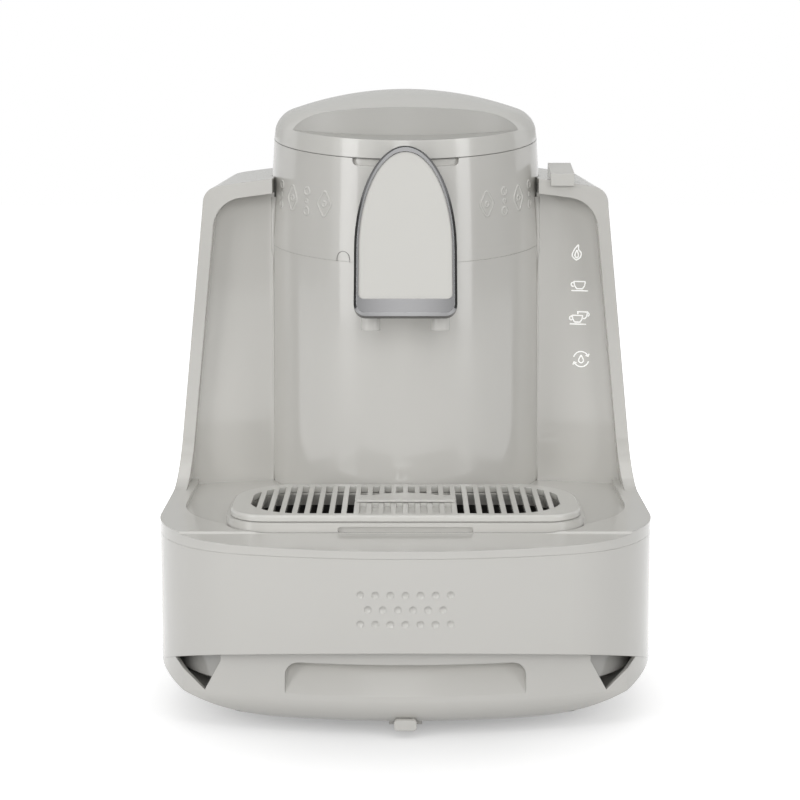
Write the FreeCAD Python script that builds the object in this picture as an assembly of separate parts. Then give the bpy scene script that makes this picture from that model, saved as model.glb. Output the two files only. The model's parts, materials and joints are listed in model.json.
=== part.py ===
"""Electric turkish coffee maker: base with drip tray, round column with a brewing head, wings behind it.

Millimetres. The origin is under the middle of the object, on the surface it stands on.
+Z is up, -Y is the front with the spout and the tray, +X is the side with the touch icons.
"""
import FreeCAD
import Part
import math
import os

V = FreeCAD.Vector
UP = V(0, 0, 1)
RIGHT = V(1, 0, 0)
FAR = 400.0

# Fits
running_gap = 0.3
pin_play = 0.05

# Base outline seen from above
half_width = 109.0
front_y = -131.0
back_y = 131.0
front_arc_radius = 293.0
front_corner_radius = 50.0
back_corner_radius = 45.0

# Lower housing, a skirt whose lower edge rises to the front
skirt_wall = 2.5
seam_z = 80.4
skirt_front_z = 40.0
skirt_slope = 0.365
dimple_rows = (7, 6, 7)
dimple_pitch = 6.29
dimple_top_z = 65.0
dimple_row_step = 6.25
dimple_radius = 1.5
dimple_depth = 1.2

# Base pan
pan_bottom_z = 6.0
pan_wall = 3.0
pan_flat_half = 50.0
pan_side_radius = 110.0
chin_setback = 7.0
chin_crease_z = 16.6
chin_tuck = 6.4
chin_half = 79.0
chin_top_z = 44.0
pan_back_radius = 12.0
window_inner_x = 79.4
window_outer_x = 101.5
window_low_x = 86.5
window_low_z = 17.5
scoop_half = 51.3
scoop_low_z = 19.0
scoop_high_z = 32.7
scoop_depth = 8.0
scoop_corner = 6.0

# Feet
foot_radius = 8.0
foot_x = 70.0
foot_front_y = -81.6
foot_rear_y = 90.0

# Front tab under the pan
tab_half = 4.8
tab_low_z = 3.7
tab_high_z = 8.4
tab_front_y = -123.6
tab_thickness = 2.4
tab_arm_thickness = 1.8
tab_arm_back_y = -92.0
rail_width = 2.0

# Deck of the upper housing
deck_z = 86.0
deck_under_z = 81.0
apron_edge_z = 83.7
apron_crease_y = -106.6
apron_crease_z = 85.2
dish_depth = 2.5
dish_half = 100.0
dish_front_y = -97.6
dish_corner = 45.0
floor_hole_radius = 58.0

# Wings and roof of the upper housing
wing_wall = 3.0
wing_front_y = -8.0
wing_cove = 22.0
wing_top_half = 95.6
wing_top_z = 222.0
wing_corner = 8.0
crown_z = 235.0
crown_radius = 560.0
roof_back_radius = 43.0
lip_side = 5.8
lip_top = 7.0
lip_corner = 15.0
face_outer_x = 96.0
face_outer_y = -1.6
face_inner_x = 66.0
face_inner_y = 5.9
boss_radius = 4.5
boss_x = 58.0
boss_front_y = -35.0
boss_rear_y = 112.0
screw_radius = 1.5
screw_head_radius = 3.4
screw_head_height = 1.4
screw_length = 18.0

# Column and head, one body of revolution cut by two tilted seams
head_y = 27.4
column_radius = 67.5
mid_radius = 66.9
mid_seam_z = 201.0
mid_seam_tilt = 5.8
lid_radius = 64.0
lid_seam_z = 250.2
lid_seam_tilt = 7.4
head_wall = 3.0
dome_top_z = 273.3
crown_edge_radius = 55.5
crown_edge_drop = 9.8
shoulder_drop = 19.3
shoulder_in = 0.5
notch_half = 24.2
notch_height = 3.3

# Lid
lid_scoop_floor = 8.8
lid_scoop_radius = 100.0
lid_scoop_front = 50.0
lid_scoop_half = 58.0
liner_thickness = 2.0
gasket_inner = 52.0
gasket_width = 2.5
gasket_drop = 2.0
hinge_out = 4.5
hinge_z = 256.5
hinge_pin_radius = 1.5
knuckle_radius = 3.6
knuckle_half = 13.6
ear_width = 4.0
web_thickness = 1.5

# Brewing parts in the head
pot_radius = 46.0
pot_wall = 1.2
pot_bottom_z = 192.0
pot_rim_z = 240.0
bracket_thickness = 2.0
bracket_inner = 36.0
collar_z = 236.0
collar_thickness = 2.0
seal_width = 3.0
seal_height = 2.0
heater_inner = 16.0
heater_outer = 30.0
heater_height = 6.0
thermostat_radius = 8.0
thermostat_height = 8.0
fuse_radius = 2.0
fuse_half = 9.0
valve_y = -12.0
valve_radius = 7.0
valve_height = 14.0
pot_outlet_radius = 3.0
duct_z = 182.0
duct_radius = 3.6
duct_bore = 2.2
duct_step = 0.4

# Beak, nozzles and shield
nozzle_x = 15.5
nozzle_y = -60.6
nozzle_radius = 4.3
nozzle_bore = 2.6
nozzle_low_z = 167.0
beak_half = 21.5
beak_wall = 2.0
beak_low_z = 176.0
beak_high_z = 235.0
shield_bottom_y = -76.6
shield_bottom_z = 175.6
shield_lean = 23.5
shield_length = 80.0
shield_half = 22.85
shield_arch = 49.0
shield_corner = 5.5
shield_depth = 5.0
bezel_side = 2.0
bezel_top = 3.1
bezel_bottom = 7.6
bezel_round = 1.2
panel_corner = 2.5
panel_inset = 0.6
panel_thickness = 2.2
peg_radius = 1.8
peg_length = 4.0
peg_x = 10.0
peg_low = 15.0
peg_high = 48.0

# Drip tray, grid and float
tray_half = 78.3
tray_front_y = -105.6
tray_back_y = -41.0
tray_front_corner = 18.0
tray_back_corner = 28.0
tray_top_z = 89.6
tray_wall = 2.0
tray_flange = 8.0
tray_bowl_z = 56.0
tray_slot_half = 29.0
tray_slot_low_z = 85.3
tray_slot_high_z = 87.7
grid_inset = 1.7
grid_gap = 0.2
grid_top_z = 92.6
grid_rib = 1.6
grid_rib_depth = 2.6
grid_corner = 24.0
field_half = 69.0
field_front_y = -100.1
field_back_y = -47.7
slot_count = 26
slot_pitch = 5.33
slot_width = 3.0
split_half = 21.8
front_row_back_y = -80.6
back_row_front_y = -65.1
pocket_depth = 1.8
cap_back_y = -66.6
cap_thickness = 1.1
stem_radius = 3.0
stem_y = -74.0
stem_play = 0.4
bob_radius = 9.0
bob_low_z = 60.5
bob_high_z = 68.0

# Water tank at the back, with its dock
tank_side_gap = 3.9
tank_arm_y = 60.0
tank_low_z = 92.0
tank_high_z = 188.0
tank_wall = 2.2
tank_clearance = 2.0
grip_half = 25.0
grip_low_z = 160.0
grip_high_z = 178.0
grip_depth = 12.0
port_x = -77.0
port_z = 103.0
port_radius = 4.0
port_bore = 2.4
port_length = 6.0
dock_block_half = 9.0
dock_block_depth = 15.0
dock_block_top = 113.0
dock_seal_width = 1.6

# Pump, boards and small parts in the base
pump_x = -40.0
pump_front_y = 40.0
pump_back_y = 95.0
pump_z = 27.0
pump_radius = 16.0
pump_stub_radius = 4.0
pump_stub_length = 4.0
mount_half = 19.0
mount_inset = 10.0
tube_radius = 2.6
inlet_back_y = 103.5
riser_x = -53.0
fill_x = -40.0
fill_z = 245.0
board_thickness = 1.6
board_z = 17.0
post_radius = 3.0
post_inset = 4.0
power_board_box = (15.0, 85.0, 34.0, 98.0)
control_board_box = (20.0, 80.0, -24.0, 20.0)
transformer_size = (26.0, 24.0, 20.0)
relay_size = (16.0, 14.0)
capacitor_size = (7.0, 24.0)
buzzer_radius = 6.0
buzzer_height = 5.0
touch_board_low_z = 135.0
touch_board_high_z = 203.0
touch_board_inner_x = 76.0
touch_board_outer_x = 92.0
gland_side_gap = 0.5
gland_z = 45.0
gland_radius = 7.0
gland_flange = 9.5
gland_bore = 3.6

# Size selector on the right wing
selector_x = 74.0
selector_half = 5.5
selector_low_z = 228.2
selector_front_z = 234.0
selector_back_z = 238.0
selector_lip = 1.7
selector_back_y = 12.0
selector_travel = 8.0
selector_stem_half = 1.5
selector_stem_y = 9.5
selector_stem_low_z = 222.3
switch_height = 8.0
switch_depth = 6.0
switch_end = 5.0

# Places worked out from the sizes above
skirt_side_z = pan_bottom_z + pan_side_radius - math.sqrt(
    pan_side_radius**2 - (half_width - pan_flat_half) ** 2
)
skirt_level_y = front_y + (skirt_front_z - skirt_side_z) / skirt_slope
front_arc_y = front_y + front_arc_radius
corner_x = half_width - front_corner_radius
corner_y = front_arc_y - math.sqrt((front_arc_radius - front_corner_radius) ** 2 - corner_x**2)
dish_z = deck_z - dish_depth
hinge_y = head_y + lid_radius + hinge_out
side_lean = (half_width - wing_top_half) / (wing_top_z - deck_z)
tank_half = half_width - side_lean * (tank_high_z - deck_z) - wing_wall - tank_side_gap
gland_x = back_corner_radius + gland_flange + gland_side_gap - half_width
face_slope = (face_inner_y - face_outer_y) / (face_outer_x - face_inner_x)


def on_plan(z):
    return lambda a, b: V(a, b, z)


def on_front(y):
    return lambda a, b: V(a, y, b)


def on_side(x):
    return lambda a, b: V(x, a, b)


def box(x0, x1, y0, y1, z0, z1):
    return Part.makeBox(x1 - x0, y1 - y0, z1 - z0, V(x0, y0, z0))


def rod(radius, start, end):
    return Part.makeCylinder(radius, (end - start).Length, start, end - start)


def upright(radius, x, y, z0, z1):
    return rod(radius, V(x, y, z0), V(x, y, z1))


def ring(outer, inner, x, y, z0, z1):
    return upright(outer, x, y, z0, z1).cut(upright(inner, x, y, z0 - 1, z1 + 1))


def outlined(place, start, *steps):
    """Face whose edge goes from start through steps: a point is a straight run, a pair an arc."""
    edges = []
    here = start
    for step in steps + (start,):
        if isinstance(step[0], tuple):
            through, end = step
            edges.append(Part.Arc(place(*here), place(*through), place(*end)).toShape())
        else:
            end = step
            if math.dist(here, end) > 1e-6:
                edges.append(Part.LineSegment(place(*here), place(*end)).toShape())
        here = end
    return Part.Face(Part.Wire(edges))


def rounded(place, corners):
    """Face of a polygon whose corners (a, b, radius) are rounded by tangent arcs."""
    trims = []
    for i, (a, b, radius) in enumerate(corners):
        point = V(a, b, 0)
        before = V(corners[i - 1][0], corners[i - 1][1], 0) - point
        after_corner = corners[(i + 1) % len(corners)]
        after = V(after_corner[0], after_corner[1], 0) - point
        before.normalize()
        after.normalize()
        if radius <= 0:
            trims.append((point, point, point))
            continue
        half = before.getAngle(after) / 2
        reach = radius / math.tan(half)
        middle = before + after
        middle.normalize()
        centre = point + middle * (radius / math.sin(half))
        trims.append((point + before * reach, centre - middle * radius, point + after * reach))
    edges = []
    for i, (start, through, end) in enumerate(trims):
        if (end - start).Length > 1e-6:
            arc = Part.Arc(*[place(p.x, p.y) for p in (start, through, end)])
            edges.append(arc.toShape())
        following = trims[(i + 1) % len(trims)][0]
        if (following - end).Length > 1e-6:
            run = Part.LineSegment(place(end.x, end.y), place(following.x, following.y))
            edges.append(run.toShape())
    return Part.Face(Part.Wire(edges))


def rectangle(x0, x1, y0, y1, low_radius, high_radius):
    return [(x0, y0, low_radius), (x1, y0, low_radius), (x1, y1, high_radius), (x0, y1, high_radius)]


def turned(face, x=0.0, y=head_y):
    return face.revolve(V(x, y, 0), UP, 360)


def above(z, tilt):
    """Everything above a plane through the head axis at z that dips to the front by tilt degrees."""
    block = box(-FAR, FAR, -FAR, FAR, z, z + FAR)
    block.rotate(V(0, head_y, z), RIGHT, tilt)
    return block


def below(z, tilt):
    block = box(-FAR, FAR, -FAR, FAR, z - FAR, z)
    block.rotate(V(0, head_y, z), RIGHT, tilt)
    return block


def pipe(radius, points):
    """Round tube through points; each straight run goes on past its bend by half the tube's width."""
    spots = [V(*p) for p in points]
    runs = []
    for i, (start, end) in enumerate(zip(spots, spots[1:])):
        along = (end - start).normalize() * radius
        runs.append(rod(radius, start - along * (i > 0), end + along * (i < len(spots) - 2)))
    return runs[0].fuse(runs[1:]).removeSplitter()


# Forms that several pieces share

def base_prism(inset, z0, z1):
    """The base's outline, drawn in by inset, between two heights."""
    big = front_arc_radius - inset
    small = front_corner_radius - inset
    back = back_corner_radius - inset
    back_x = half_width - back_corner_radius
    back_c = back_y - back_corner_radius
    meet = math.degrees(math.atan2(corner_y - front_arc_y, corner_x))

    def at(x, y, radius, degrees):
        angle = math.radians(degrees)
        return (x + radius * math.cos(angle), y + radius * math.sin(angle))

    face = outlined(
        on_plan(z0),
        at(0, front_arc_y, big, 180 - meet),
        (at(0, front_arc_y, big, -90), at(0, front_arc_y, big, meet)),
        (at(corner_x, corner_y, small, meet / 2), at(corner_x, corner_y, small, 0)),
        at(back_x, back_c, back, 0),
        (at(back_x, back_c, back, 45), at(back_x, back_c, back, 90)),
        at(-back_x, back_c, back, 90),
        (at(-back_x, back_c, back, 135), at(-back_x, back_c, back, 180)),
        at(-corner_x, corner_y, small, 180),
        (at(-corner_x, corner_y, small, 180 - meet / 2), at(-corner_x, corner_y, small, 180 - meet)),
    )
    return face.extrude(UP * (z1 - z0))


def under_skirt():
    """Everything below the skirt's lower edge, which rises to the front."""
    over = 20.0
    face = outlined(
        on_side(-FAR),
        (front_y - over, -over),
        (back_y + over, -over),
        (back_y + over, skirt_side_z),
        (skirt_level_y, skirt_side_z),
        (front_y - over, skirt_front_z + over * skirt_slope),
    )
    return face.extrude(RIGHT * 2 * FAR)


def pan_form(inset):
    """The closed form of the pan: rounded sides, a front set back behind the skirt, a rounded back."""
    low = pan_bottom_z + inset
    radius = pan_side_radius - inset
    centre_z = pan_bottom_z + pan_side_radius
    reach = half_width + 4 - pan_flat_half
    edge_z = centre_z - math.sqrt(radius**2 - reach**2)
    angle = math.asin(reach / radius) / 2
    mid_x = pan_flat_half + radius * math.sin(angle)
    mid_z = centre_z - radius * math.cos(angle)
    far_x = pan_flat_half + reach
    sides = outlined(
        on_front(-FAR),
        (-pan_flat_half, low),
        (pan_flat_half, low),
        ((mid_x, mid_z), (far_x, edge_z)),
        (far_x, seam_z),
        (-far_x, seam_z),
        (-far_x, edge_z),
        ((-mid_x, mid_z), (-pan_flat_half, low)),
    ).extrude(V(0, 2 * FAR, 0))
    front = front_arc_radius - chin_setback - inset
    mid_height = (pan_bottom_z + chin_crease_z) / 2 - 1
    chin = [((front - 0.3 * chin_tuck, mid_height), (front, chin_crease_z))]
    if inset > 0:
        chin = [(front, chin_crease_z)]
    limit = turned(
        outlined(
            on_front(front_arc_y),
            (0, low - 1),
            (front - chin_tuck, low - 1),
            (front - chin_tuck, low),
            *chin,
            (front, seam_z),
            (0, seam_z),
        ),
        y=front_arc_y,
    )
    back = rounded(
        on_side(-FAR),
        [
            (-FAR, low, 0),
            (back_y - inset, low, pan_back_radius - inset),
            (back_y - inset, seam_z, 0),
            (-FAR, seam_z, 0),
        ],
    ).extrude(RIGHT * 2 * FAR)
    return sides.common(base_prism(inset, low - 1, seam_z)).common(limit).common(back)


def wing_side(inset, lift=0.0):
    """Front view of the wings: leaning sides, rounded shoulders, a crowned roof."""
    lean = math.sqrt(1 + side_lean**2)
    low_x = half_width - inset * lean
    high_x = half_width - side_lean * (crown_z - deck_z) - inset * lean
    flat = outlined(
        on_front(-FAR), (-low_x, deck_z), (low_x, deck_z), (high_x, crown_z), (-high_x, crown_z)
    ).extrude(V(0, 2 * FAR, 0))
    crown = rod(crown_radius - inset - lift, V(0, -FAR, crown_z - crown_radius), V(0, FAR, crown_z - crown_radius))
    return flat.common(crown)


def wing_block(inset, z0, z1):
    """The wings seen from above between two heights: sides that lean in, rounded back corners."""
    back = back_corner_radius - inset
    wires = []
    for z in (z0, z1):
        half = half_width - side_lean * (z - deck_z) - inset
        corners = [
            (-half, apron_crease_y, 0),
            (half, apron_crease_y, 0),
            (half, back_y - inset, back),
            (-half, back_y - inset, back),
        ]
        wires.append(rounded(on_plan(z), corners).OuterWire)
    return Part.makeLoft(wires, True, True)


def shoulder_edges(shape):
    """The long edges where the wings' sides meet the roof."""
    found = []
    for edge in shape.Edges:
        middle = edge.BoundBox.Center
        if edge.BoundBox.YLength > FAR and middle.z > (deck_z + crown_z) / 2:
            found.append(edge)
    return found


def head_form(inset, low_z):
    """Column, head and dome as one body of revolution. Drawn in by inset it is plainer, with straight runs."""
    top = dome_top_z - inset
    edge = crown_edge_radius - inset
    if inset > 0:
        face = outlined(
            on_front(head_y),
            (0, low_z),
            (column_radius - inset, low_z),
            (mid_radius - inset, mid_seam_z),
            (lid_radius - inset, lid_seam_z),
            (lid_radius - shoulder_in - inset, dome_top_z - shoulder_drop),
            (edge, top - crown_edge_drop),
            (0, top - crown_edge_drop / 2),
        )
        return turned(face)
    sphere = (crown_edge_radius**2 + crown_edge_drop**2) / (2 * crown_edge_drop)
    half = math.asin(crown_edge_radius / sphere) / 2
    mid = (edge / 2, top - sphere * (1 - math.cos(half)))
    shoulder_z = dome_top_z - shoulder_drop
    shoulder_r = lid_radius - shoulder_in - inset
    face = outlined(
        on_front(head_y),
        (0, low_z),
        (column_radius - inset, low_z),
        (mid_radius - inset, mid_seam_z),
        (lid_radius - inset, lid_seam_z),
        (shoulder_r, shoulder_z),
        (
            (edge + (shoulder_r - edge) * 0.66, top - crown_edge_drop - (top - crown_edge_drop - shoulder_z) * 0.42),
            (edge, top - crown_edge_drop),
        ),
        (mid, (0, top)),
    )
    return turned(face)


def tank_form(inset, z0, z1):
    """Crescent of the tank: it wraps the column and ends flush with the back."""
    body = wing_block(inset, z0, z1)
    body = body.common(box(-tank_half + inset, tank_half - inset, tank_arm_y + inset, FAR, z0, z1))
    return body.cut(upright(column_radius + tank_clearance + inset, 0, head_y, z0 - 1, z1 + 1))


def tray_form(inset, z0, z1):
    corners = rectangle(
        -tray_half + inset,
        tray_half - inset,
        tray_front_y + inset,
        tray_back_y - inset,
        tray_front_corner - inset,
        tray_back_corner - inset,
    )
    return rounded(on_plan(z0), corners).extrude(UP * (z1 - z0))


def wing_face_y(x):
    return face_outer_y + (face_outer_x - abs(x)) * face_slope


def in_front_of_faces(shift, z0, z1):
    """Space in front of the two wing faces, each turned a little to the column."""
    face = outlined(
        on_plan(z0),
        (-FAR, -FAR),
        (FAR, -FAR),
        (FAR, wing_face_y(FAR) + shift),
        (face_inner_x, face_inner_y + shift),
        (-face_inner_x, face_inner_y + shift),
        (-FAR, wing_face_y(FAR) + shift),
    )
    return face.extrude(UP * (z1 - z0))


# Base

def boss_spots():
    return [(side * boss_x, y) for side in (-1, 1) for y in (boss_front_y, boss_rear_y)]


def post_spots(corners):
    x0, x1, y0, y1 = corners
    return [(x, y) for x in (x0 + post_inset, x1 - post_inset) for y in (y0 + post_inset, y1 - post_inset)]


def make_base_pan():
    outer = pan_form(0)
    inner = pan_form(pan_wall)
    shell = outer.cut(inner)
    rim = shell.common(under_skirt())
    chin = shell.common(box(-chin_half, chin_half, front_y, -FAR / 4, pan_bottom_z, chin_top_z))
    pan = rim.fuse(chin)
    radius = front_arc_radius - chin_setback

    def wedge(shift, grow):
        ramp = outlined(
            on_front(front_arc_y),
            (radius + 2, scoop_low_z - grow),
            (radius - shift, scoop_low_z - grow),
            (radius - scoop_depth - shift, scoop_high_z + grow),
            (radius + 2, scoop_high_z + grow),
        )
        shape = rounded(
            on_front(-FAR),
            rectangle(
                -scoop_half - grow, scoop_half + grow, scoop_low_z - grow, scoop_high_z + grow, 0, scoop_corner + grow
            ),
        ).extrude(V(0, FAR, 0))
        return turned(ramp, y=front_arc_y).common(shape)

    pan = pan.fuse(wedge(pan_wall, pan_wall).common(outer)).cut(wedge(0, 0))
    for side in (-1, 1):
        window = outlined(
            on_front(front_y),
            (side * window_inner_x, skirt_front_z),
            (side * window_inner_x, skirt_front_z - 9),
            (side * window_low_x, window_low_z),
            (side * window_outer_x, skirt_front_z - 9),
            (side * window_outer_x, skirt_front_z),
        )
        pan = pan.cut(window.extrude(V(0, front_corner_radius, 0)).common(under_skirt()))
    posts = [
        upright(post_radius, x, y, pan_bottom_z, board_z).common(inner)
        for corners in (power_board_box, control_board_box)
        for x, y in post_spots(corners)
    ]
    arm_low = pan_bottom_z - running_gap - tab_arm_thickness - running_gap
    rails = []
    for side in (-1, 1):
        near = side * (tab_half + running_gap)
        far = near + side * rail_width
        hook = near - side * rail_width
        x0, x1 = sorted((near, far))
        rails.append(box(x0, x1, tab_front_y + 12, tab_arm_back_y, arm_low - 1.2, pan_bottom_z))
        x0, x1 = sorted((hook, far))
        rails.append(box(x0, x1, tab_front_y + 12, tab_arm_back_y, arm_low - 1.2, arm_low))
    pan = pan.fuse(posts + rails)
    for x, y in boss_spots():
        pan = pan.cut(upright(screw_radius, x, y, 0, seam_z / 2))
        pan = pan.cut(upright(screw_head_radius, x, y, 0, pan_bottom_z + screw_head_height))
    return pan.removeSplitter()


def make_pan_screws():
    screws = []
    for x, y in boss_spots():
        head_z = pan_bottom_z + screw_head_height
        head = upright(screw_head_radius, x, y, head_z - 1, head_z)
        screws.append(head.fuse(upright(screw_radius, x, y, head_z, head_z + screw_length)))
    return Part.makeCompound(screws)


def make_lower_housing():
    skirt = base_prism(0, 0, seam_z).cut(base_prism(skirt_wall, -1, seam_z + 1)).cut(under_skirt())
    for row, count in enumerate(dimple_rows):
        z = dimple_top_z - row * dimple_row_step
        for i in range(count):
            x = (i - (count - 1) / 2) * dimple_pitch
            y = front_arc_y - math.sqrt(front_arc_radius**2 - x**2)
            skirt = skirt.cut(rod(dimple_radius, V(x, y - 1, z), V(x, y + dimple_depth, z)))
    return skirt.cut(rod(gland_radius, V(gland_x, back_y - 10, gland_z), V(gland_x, back_y + 1, gland_z)))


def make_cord_gland():
    start = V(gland_x, back_y - skirt_wall - 6, gland_z)
    body = rod(gland_radius, start, V(gland_x, back_y, gland_z))
    collar = rod(gland_flange, start, start + V(0, 6, 0))
    return body.fuse(collar).cut(rod(gland_bore, start - V(0, 1, 0), V(gland_x, back_y + 1, gland_z)))


def make_foot(side, y):
    return upright(foot_radius, side * foot_x, y, 0, pan_bottom_z + 8).cut(pan_form(0))


def make_front_tab():
    plate = rounded(on_front(tab_front_y), rectangle(-tab_half, tab_half, tab_low_z, tab_high_z, 1.5, 1.5))
    plate = plate.extrude(V(0, tab_thickness, 0))
    top = pan_bottom_z - running_gap
    arm = box(-tab_half, tab_half, tab_front_y + tab_thickness - 1, tab_arm_back_y, top - tab_arm_thickness, top)
    return plate.fuse(arm).removeSplitter()


# Upper housing: deck, wings and roof in one moulding

def make_upper_housing():
    deck_profile = outlined(
        on_side(-FAR),
        (front_y - 1, seam_z),
        (back_y + 1, seam_z),
        (back_y + 1, deck_z),
        (apron_crease_y + 1, deck_z),
        (apron_crease_y, apron_crease_z),
        (front_y - 1, apron_edge_z),
    ).extrude(RIGHT * 2 * FAR)
    deck = base_prism(0, seam_z, deck_z).common(deck_profile)
    deck = deck.cut(base_prism(skirt_wall, seam_z - 1, deck_under_z))
    roof = crown_z + 1
    arc_mid = wing_cove * (1 - math.sqrt(0.5))
    back_mid = roof_back_radius * (1 - math.sqrt(0.5))
    side_view = outlined(
        on_side(-FAR),
        (wing_front_y - wing_cove, deck_z),
        ((wing_front_y - arc_mid, deck_z + arc_mid), (wing_front_y, deck_z + wing_cove)),
        (wing_front_y, roof),
        (back_y - roof_back_radius, roof),
        ((back_y - back_mid, roof - back_mid), (back_y, roof - roof_back_radius)),
        (back_y, deck_z),
    ).extrude(RIGHT * 2 * FAR)
    outer = wing_side(0)
    outer = outer.makeFillet(wing_corner, shoulder_edges(outer))
    outer = outer.common(side_view).common(wing_block(0, deck_z, roof))
    inner = wing_side(wing_wall)
    inner = inner.makeFillet(wing_corner - wing_wall, shoulder_edges(inner))
    inner_back = side_view.copy()
    inner_back.translate(V(0, -wing_wall, -wing_wall))
    inner = inner.common(inner_back).common(wing_block(wing_wall, deck_z, roof))
    inner = inner.cut(in_front_of_faces(wing_wall, deck_z - 1, roof))
    recess = wing_side(lip_side, lip_top - lip_side)
    recess = recess.makeFillet(lip_corner, shoulder_edges(recess))
    recess = recess.common(in_front_of_faces(0, dish_z, roof))
    housing = outer.cut(inner).cut(recess).fuse(deck)
    dish = rounded(
        on_plan(dish_z), rectangle(-dish_half, dish_half, dish_front_y, FAR, dish_corner, 0)
    ).extrude(UP * FAR)
    dish = dish.common(in_front_of_faces(0, dish_z, deck_z + 1))
    hole = head_form(-running_gap, dish_z)
    housing = housing.cut(dish).cut(hole)
    housing = housing.cut(upright(floor_hole_radius, 0, head_y, 0, FAR))
    housing = housing.cut(tray_form(-2 * running_gap, dish_z, FAR).common(in_front_of_faces(0, dish_z, FAR)))
    housing = housing.cut(tray_form(tray_flange - 2 * running_gap, seam_z - 1, FAR))
    opening_half = tank_half + 2 * running_gap
    housing = housing.cut(
        box(-opening_half, opening_half, back_y - back_corner_radius, FAR, tank_low_z - 1, tank_high_z + 2)
    )
    slot_x = selector_x - selector_stem_half - running_gap
    slot_end = selector_x + selector_stem_half + selector_travel + running_gap
    slot_y = selector_stem_half + running_gap
    housing = housing.cut(
        box(slot_x, slot_end, selector_stem_y - slot_y, selector_stem_y + slot_y, wing_top_z, FAR)
    )
    housing = housing.cut(
        upright(tube_radius + running_gap, port_x, tank_arm_y - dock_block_depth / 2, 0, deck_z + 1)
    )
    for x, y in boss_spots():
        boss = upright(boss_radius, x, y, pan_bottom_z, deck_under_z).common(pan_form(pan_wall))
        top = upright(boss_radius, x, y, seam_z - 1, deck_under_z)
        bore = upright(screw_radius, x, y, 0, pan_bottom_z + screw_head_height + screw_length)
        housing = housing.fuse([boss, top]).cut(bore)
    return housing.removeSplitter()


# Column, head ring and lid

def make_column_shell():
    shell = head_form(0, dish_z).cut(head_form(head_wall, dish_z - 1)).common(below(mid_seam_z, mid_seam_tilt))
    half = duct_radius + running_gap
    hole = box(-half, half, -FAR, head_y, duct_z - half, duct_z + half)
    return shell.cut(hole)


def make_head_ring():
    shell = head_form(0, dish_z).cut(head_form(head_wall, dish_z - 1))
    shell = shell.common(above(mid_seam_z, mid_seam_tilt)).common(below(lid_seam_z, lid_seam_tilt))
    notch = rounded(
        on_front(head_y - FAR),
        rectangle(-notch_half, notch_half, lid_seam_z - notch_height, lid_seam_z + 3 * notch_height, 2, 0),
    ).extrude(V(0, FAR, 0))
    notch.rotate(V(0, head_y, lid_seam_z), RIGHT, lid_seam_tilt)
    shell = shell.cut(notch)
    inner = head_form(head_wall, dish_z - 1)
    for side in (-1, 1):
        near = side * (knuckle_half + running_gap)
        x0, x1 = sorted((near, near + side * ear_width))
        ear = rod(knuckle_radius, V(x0, hinge_y, hinge_z), V(x1, hinge_y, hinge_z))
        web = box(x0, x1, hinge_y - hinge_out - 4, hinge_y, hinge_z - knuckle_radius, hinge_z)
        shell = shell.fuse(ear.fuse(web).cut(inner))
    bore = rod(hinge_pin_radius, V(-FAR, hinge_y, hinge_z), V(FAR, hinge_y, hinge_z))
    return shell.cut(bore).removeSplitter()


def make_hinge_pin():
    reach = knuckle_half + running_gap + ear_width
    return rod(hinge_pin_radius, V(-reach, hinge_y, hinge_z), V(reach, hinge_y, hinge_z))


def lid_scoop(grow):
    """Space cut from the lid's front, between a tilted floor and a curved wall."""
    block = box(-FAR, FAR, head_y - FAR, head_y - 20, lid_seam_z, lid_seam_z + FAR)
    block = block.common(above(lid_seam_z + lid_scoop_floor - grow, lid_seam_tilt))
    centre_y = head_y - lid_scoop_front + lid_scoop_radius
    return block.cut(upright(lid_scoop_radius - grow, 0, centre_y, 0, FAR))


def make_lid_shell():
    lid = head_form(0, dish_z).common(above(lid_seam_z + running_gap, lid_seam_tilt))
    void = head_form(head_wall, dish_z).common(above(lid_seam_z, lid_seam_tilt)).cut(lid_scoop(head_wall))
    lid = lid.cut(void).cut(lid_scoop(0))
    knuckle = rod(knuckle_radius, V(-knuckle_half, hinge_y, hinge_z), V(knuckle_half, hinge_y, hinge_z))
    top = hinge_z + knuckle_radius
    web = box(-knuckle_half, knuckle_half, hinge_y - hinge_out - 7, hinge_y, top - web_thickness, top)
    bore = rod(hinge_pin_radius + pin_play, V(-FAR, hinge_y, hinge_z), V(FAR, hinge_y, hinge_z))
    return lid.fuse([knuckle, web]).cut(bore).removeSplitter()


def seam_disc(outer, inner, low, high):
    """Round plate parallel to the lid's seam, at heights measured from it."""
    disc = upright(outer, 0, head_y, lid_seam_z + low, lid_seam_z + high)
    if inner > 0:
        disc = disc.cut(upright(inner, 0, head_y, lid_seam_z + low - 1, lid_seam_z + high + 1))
    disc.rotate(V(0, head_y, lid_seam_z), RIGHT, lid_seam_tilt)
    return disc


def make_lid_liner():
    limit = head_form(head_wall, dish_z)
    return seam_disc(lid_radius, 0, running_gap, running_gap + liner_thickness).common(limit)


def make_lid_gasket():
    return seam_disc(gasket_inner + gasket_width, gasket_inner, running_gap - gasket_drop, running_gap)


# Brewing parts

def make_brew_pot():
    pot = upright(pot_radius, 0, head_y, pot_bottom_z, pot_rim_z)
    pot = pot.cut(upright(pot_radius - pot_wall, 0, head_y, pot_bottom_z + pot_wall, pot_rim_z + 1))
    return pot.cut(upright(pot_outlet_radius, 0, valve_y, pot_bottom_z - 1, pot_bottom_z + 5))


def make_pot_bracket():
    reach = head_form(head_wall, dish_z)
    plate = upright(column_radius, 0, head_y, pot_bottom_z - bracket_thickness, pot_bottom_z).common(reach)
    plate = plate.cut(upright(bracket_inner, 0, head_y, 0, FAR))
    plate = plate.cut(upright(valve_radius + running_gap, 0, valve_y, 0, FAR))
    return plate.cut(upright(tube_radius + running_gap, riser_x, head_y, 0, FAR))


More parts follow.
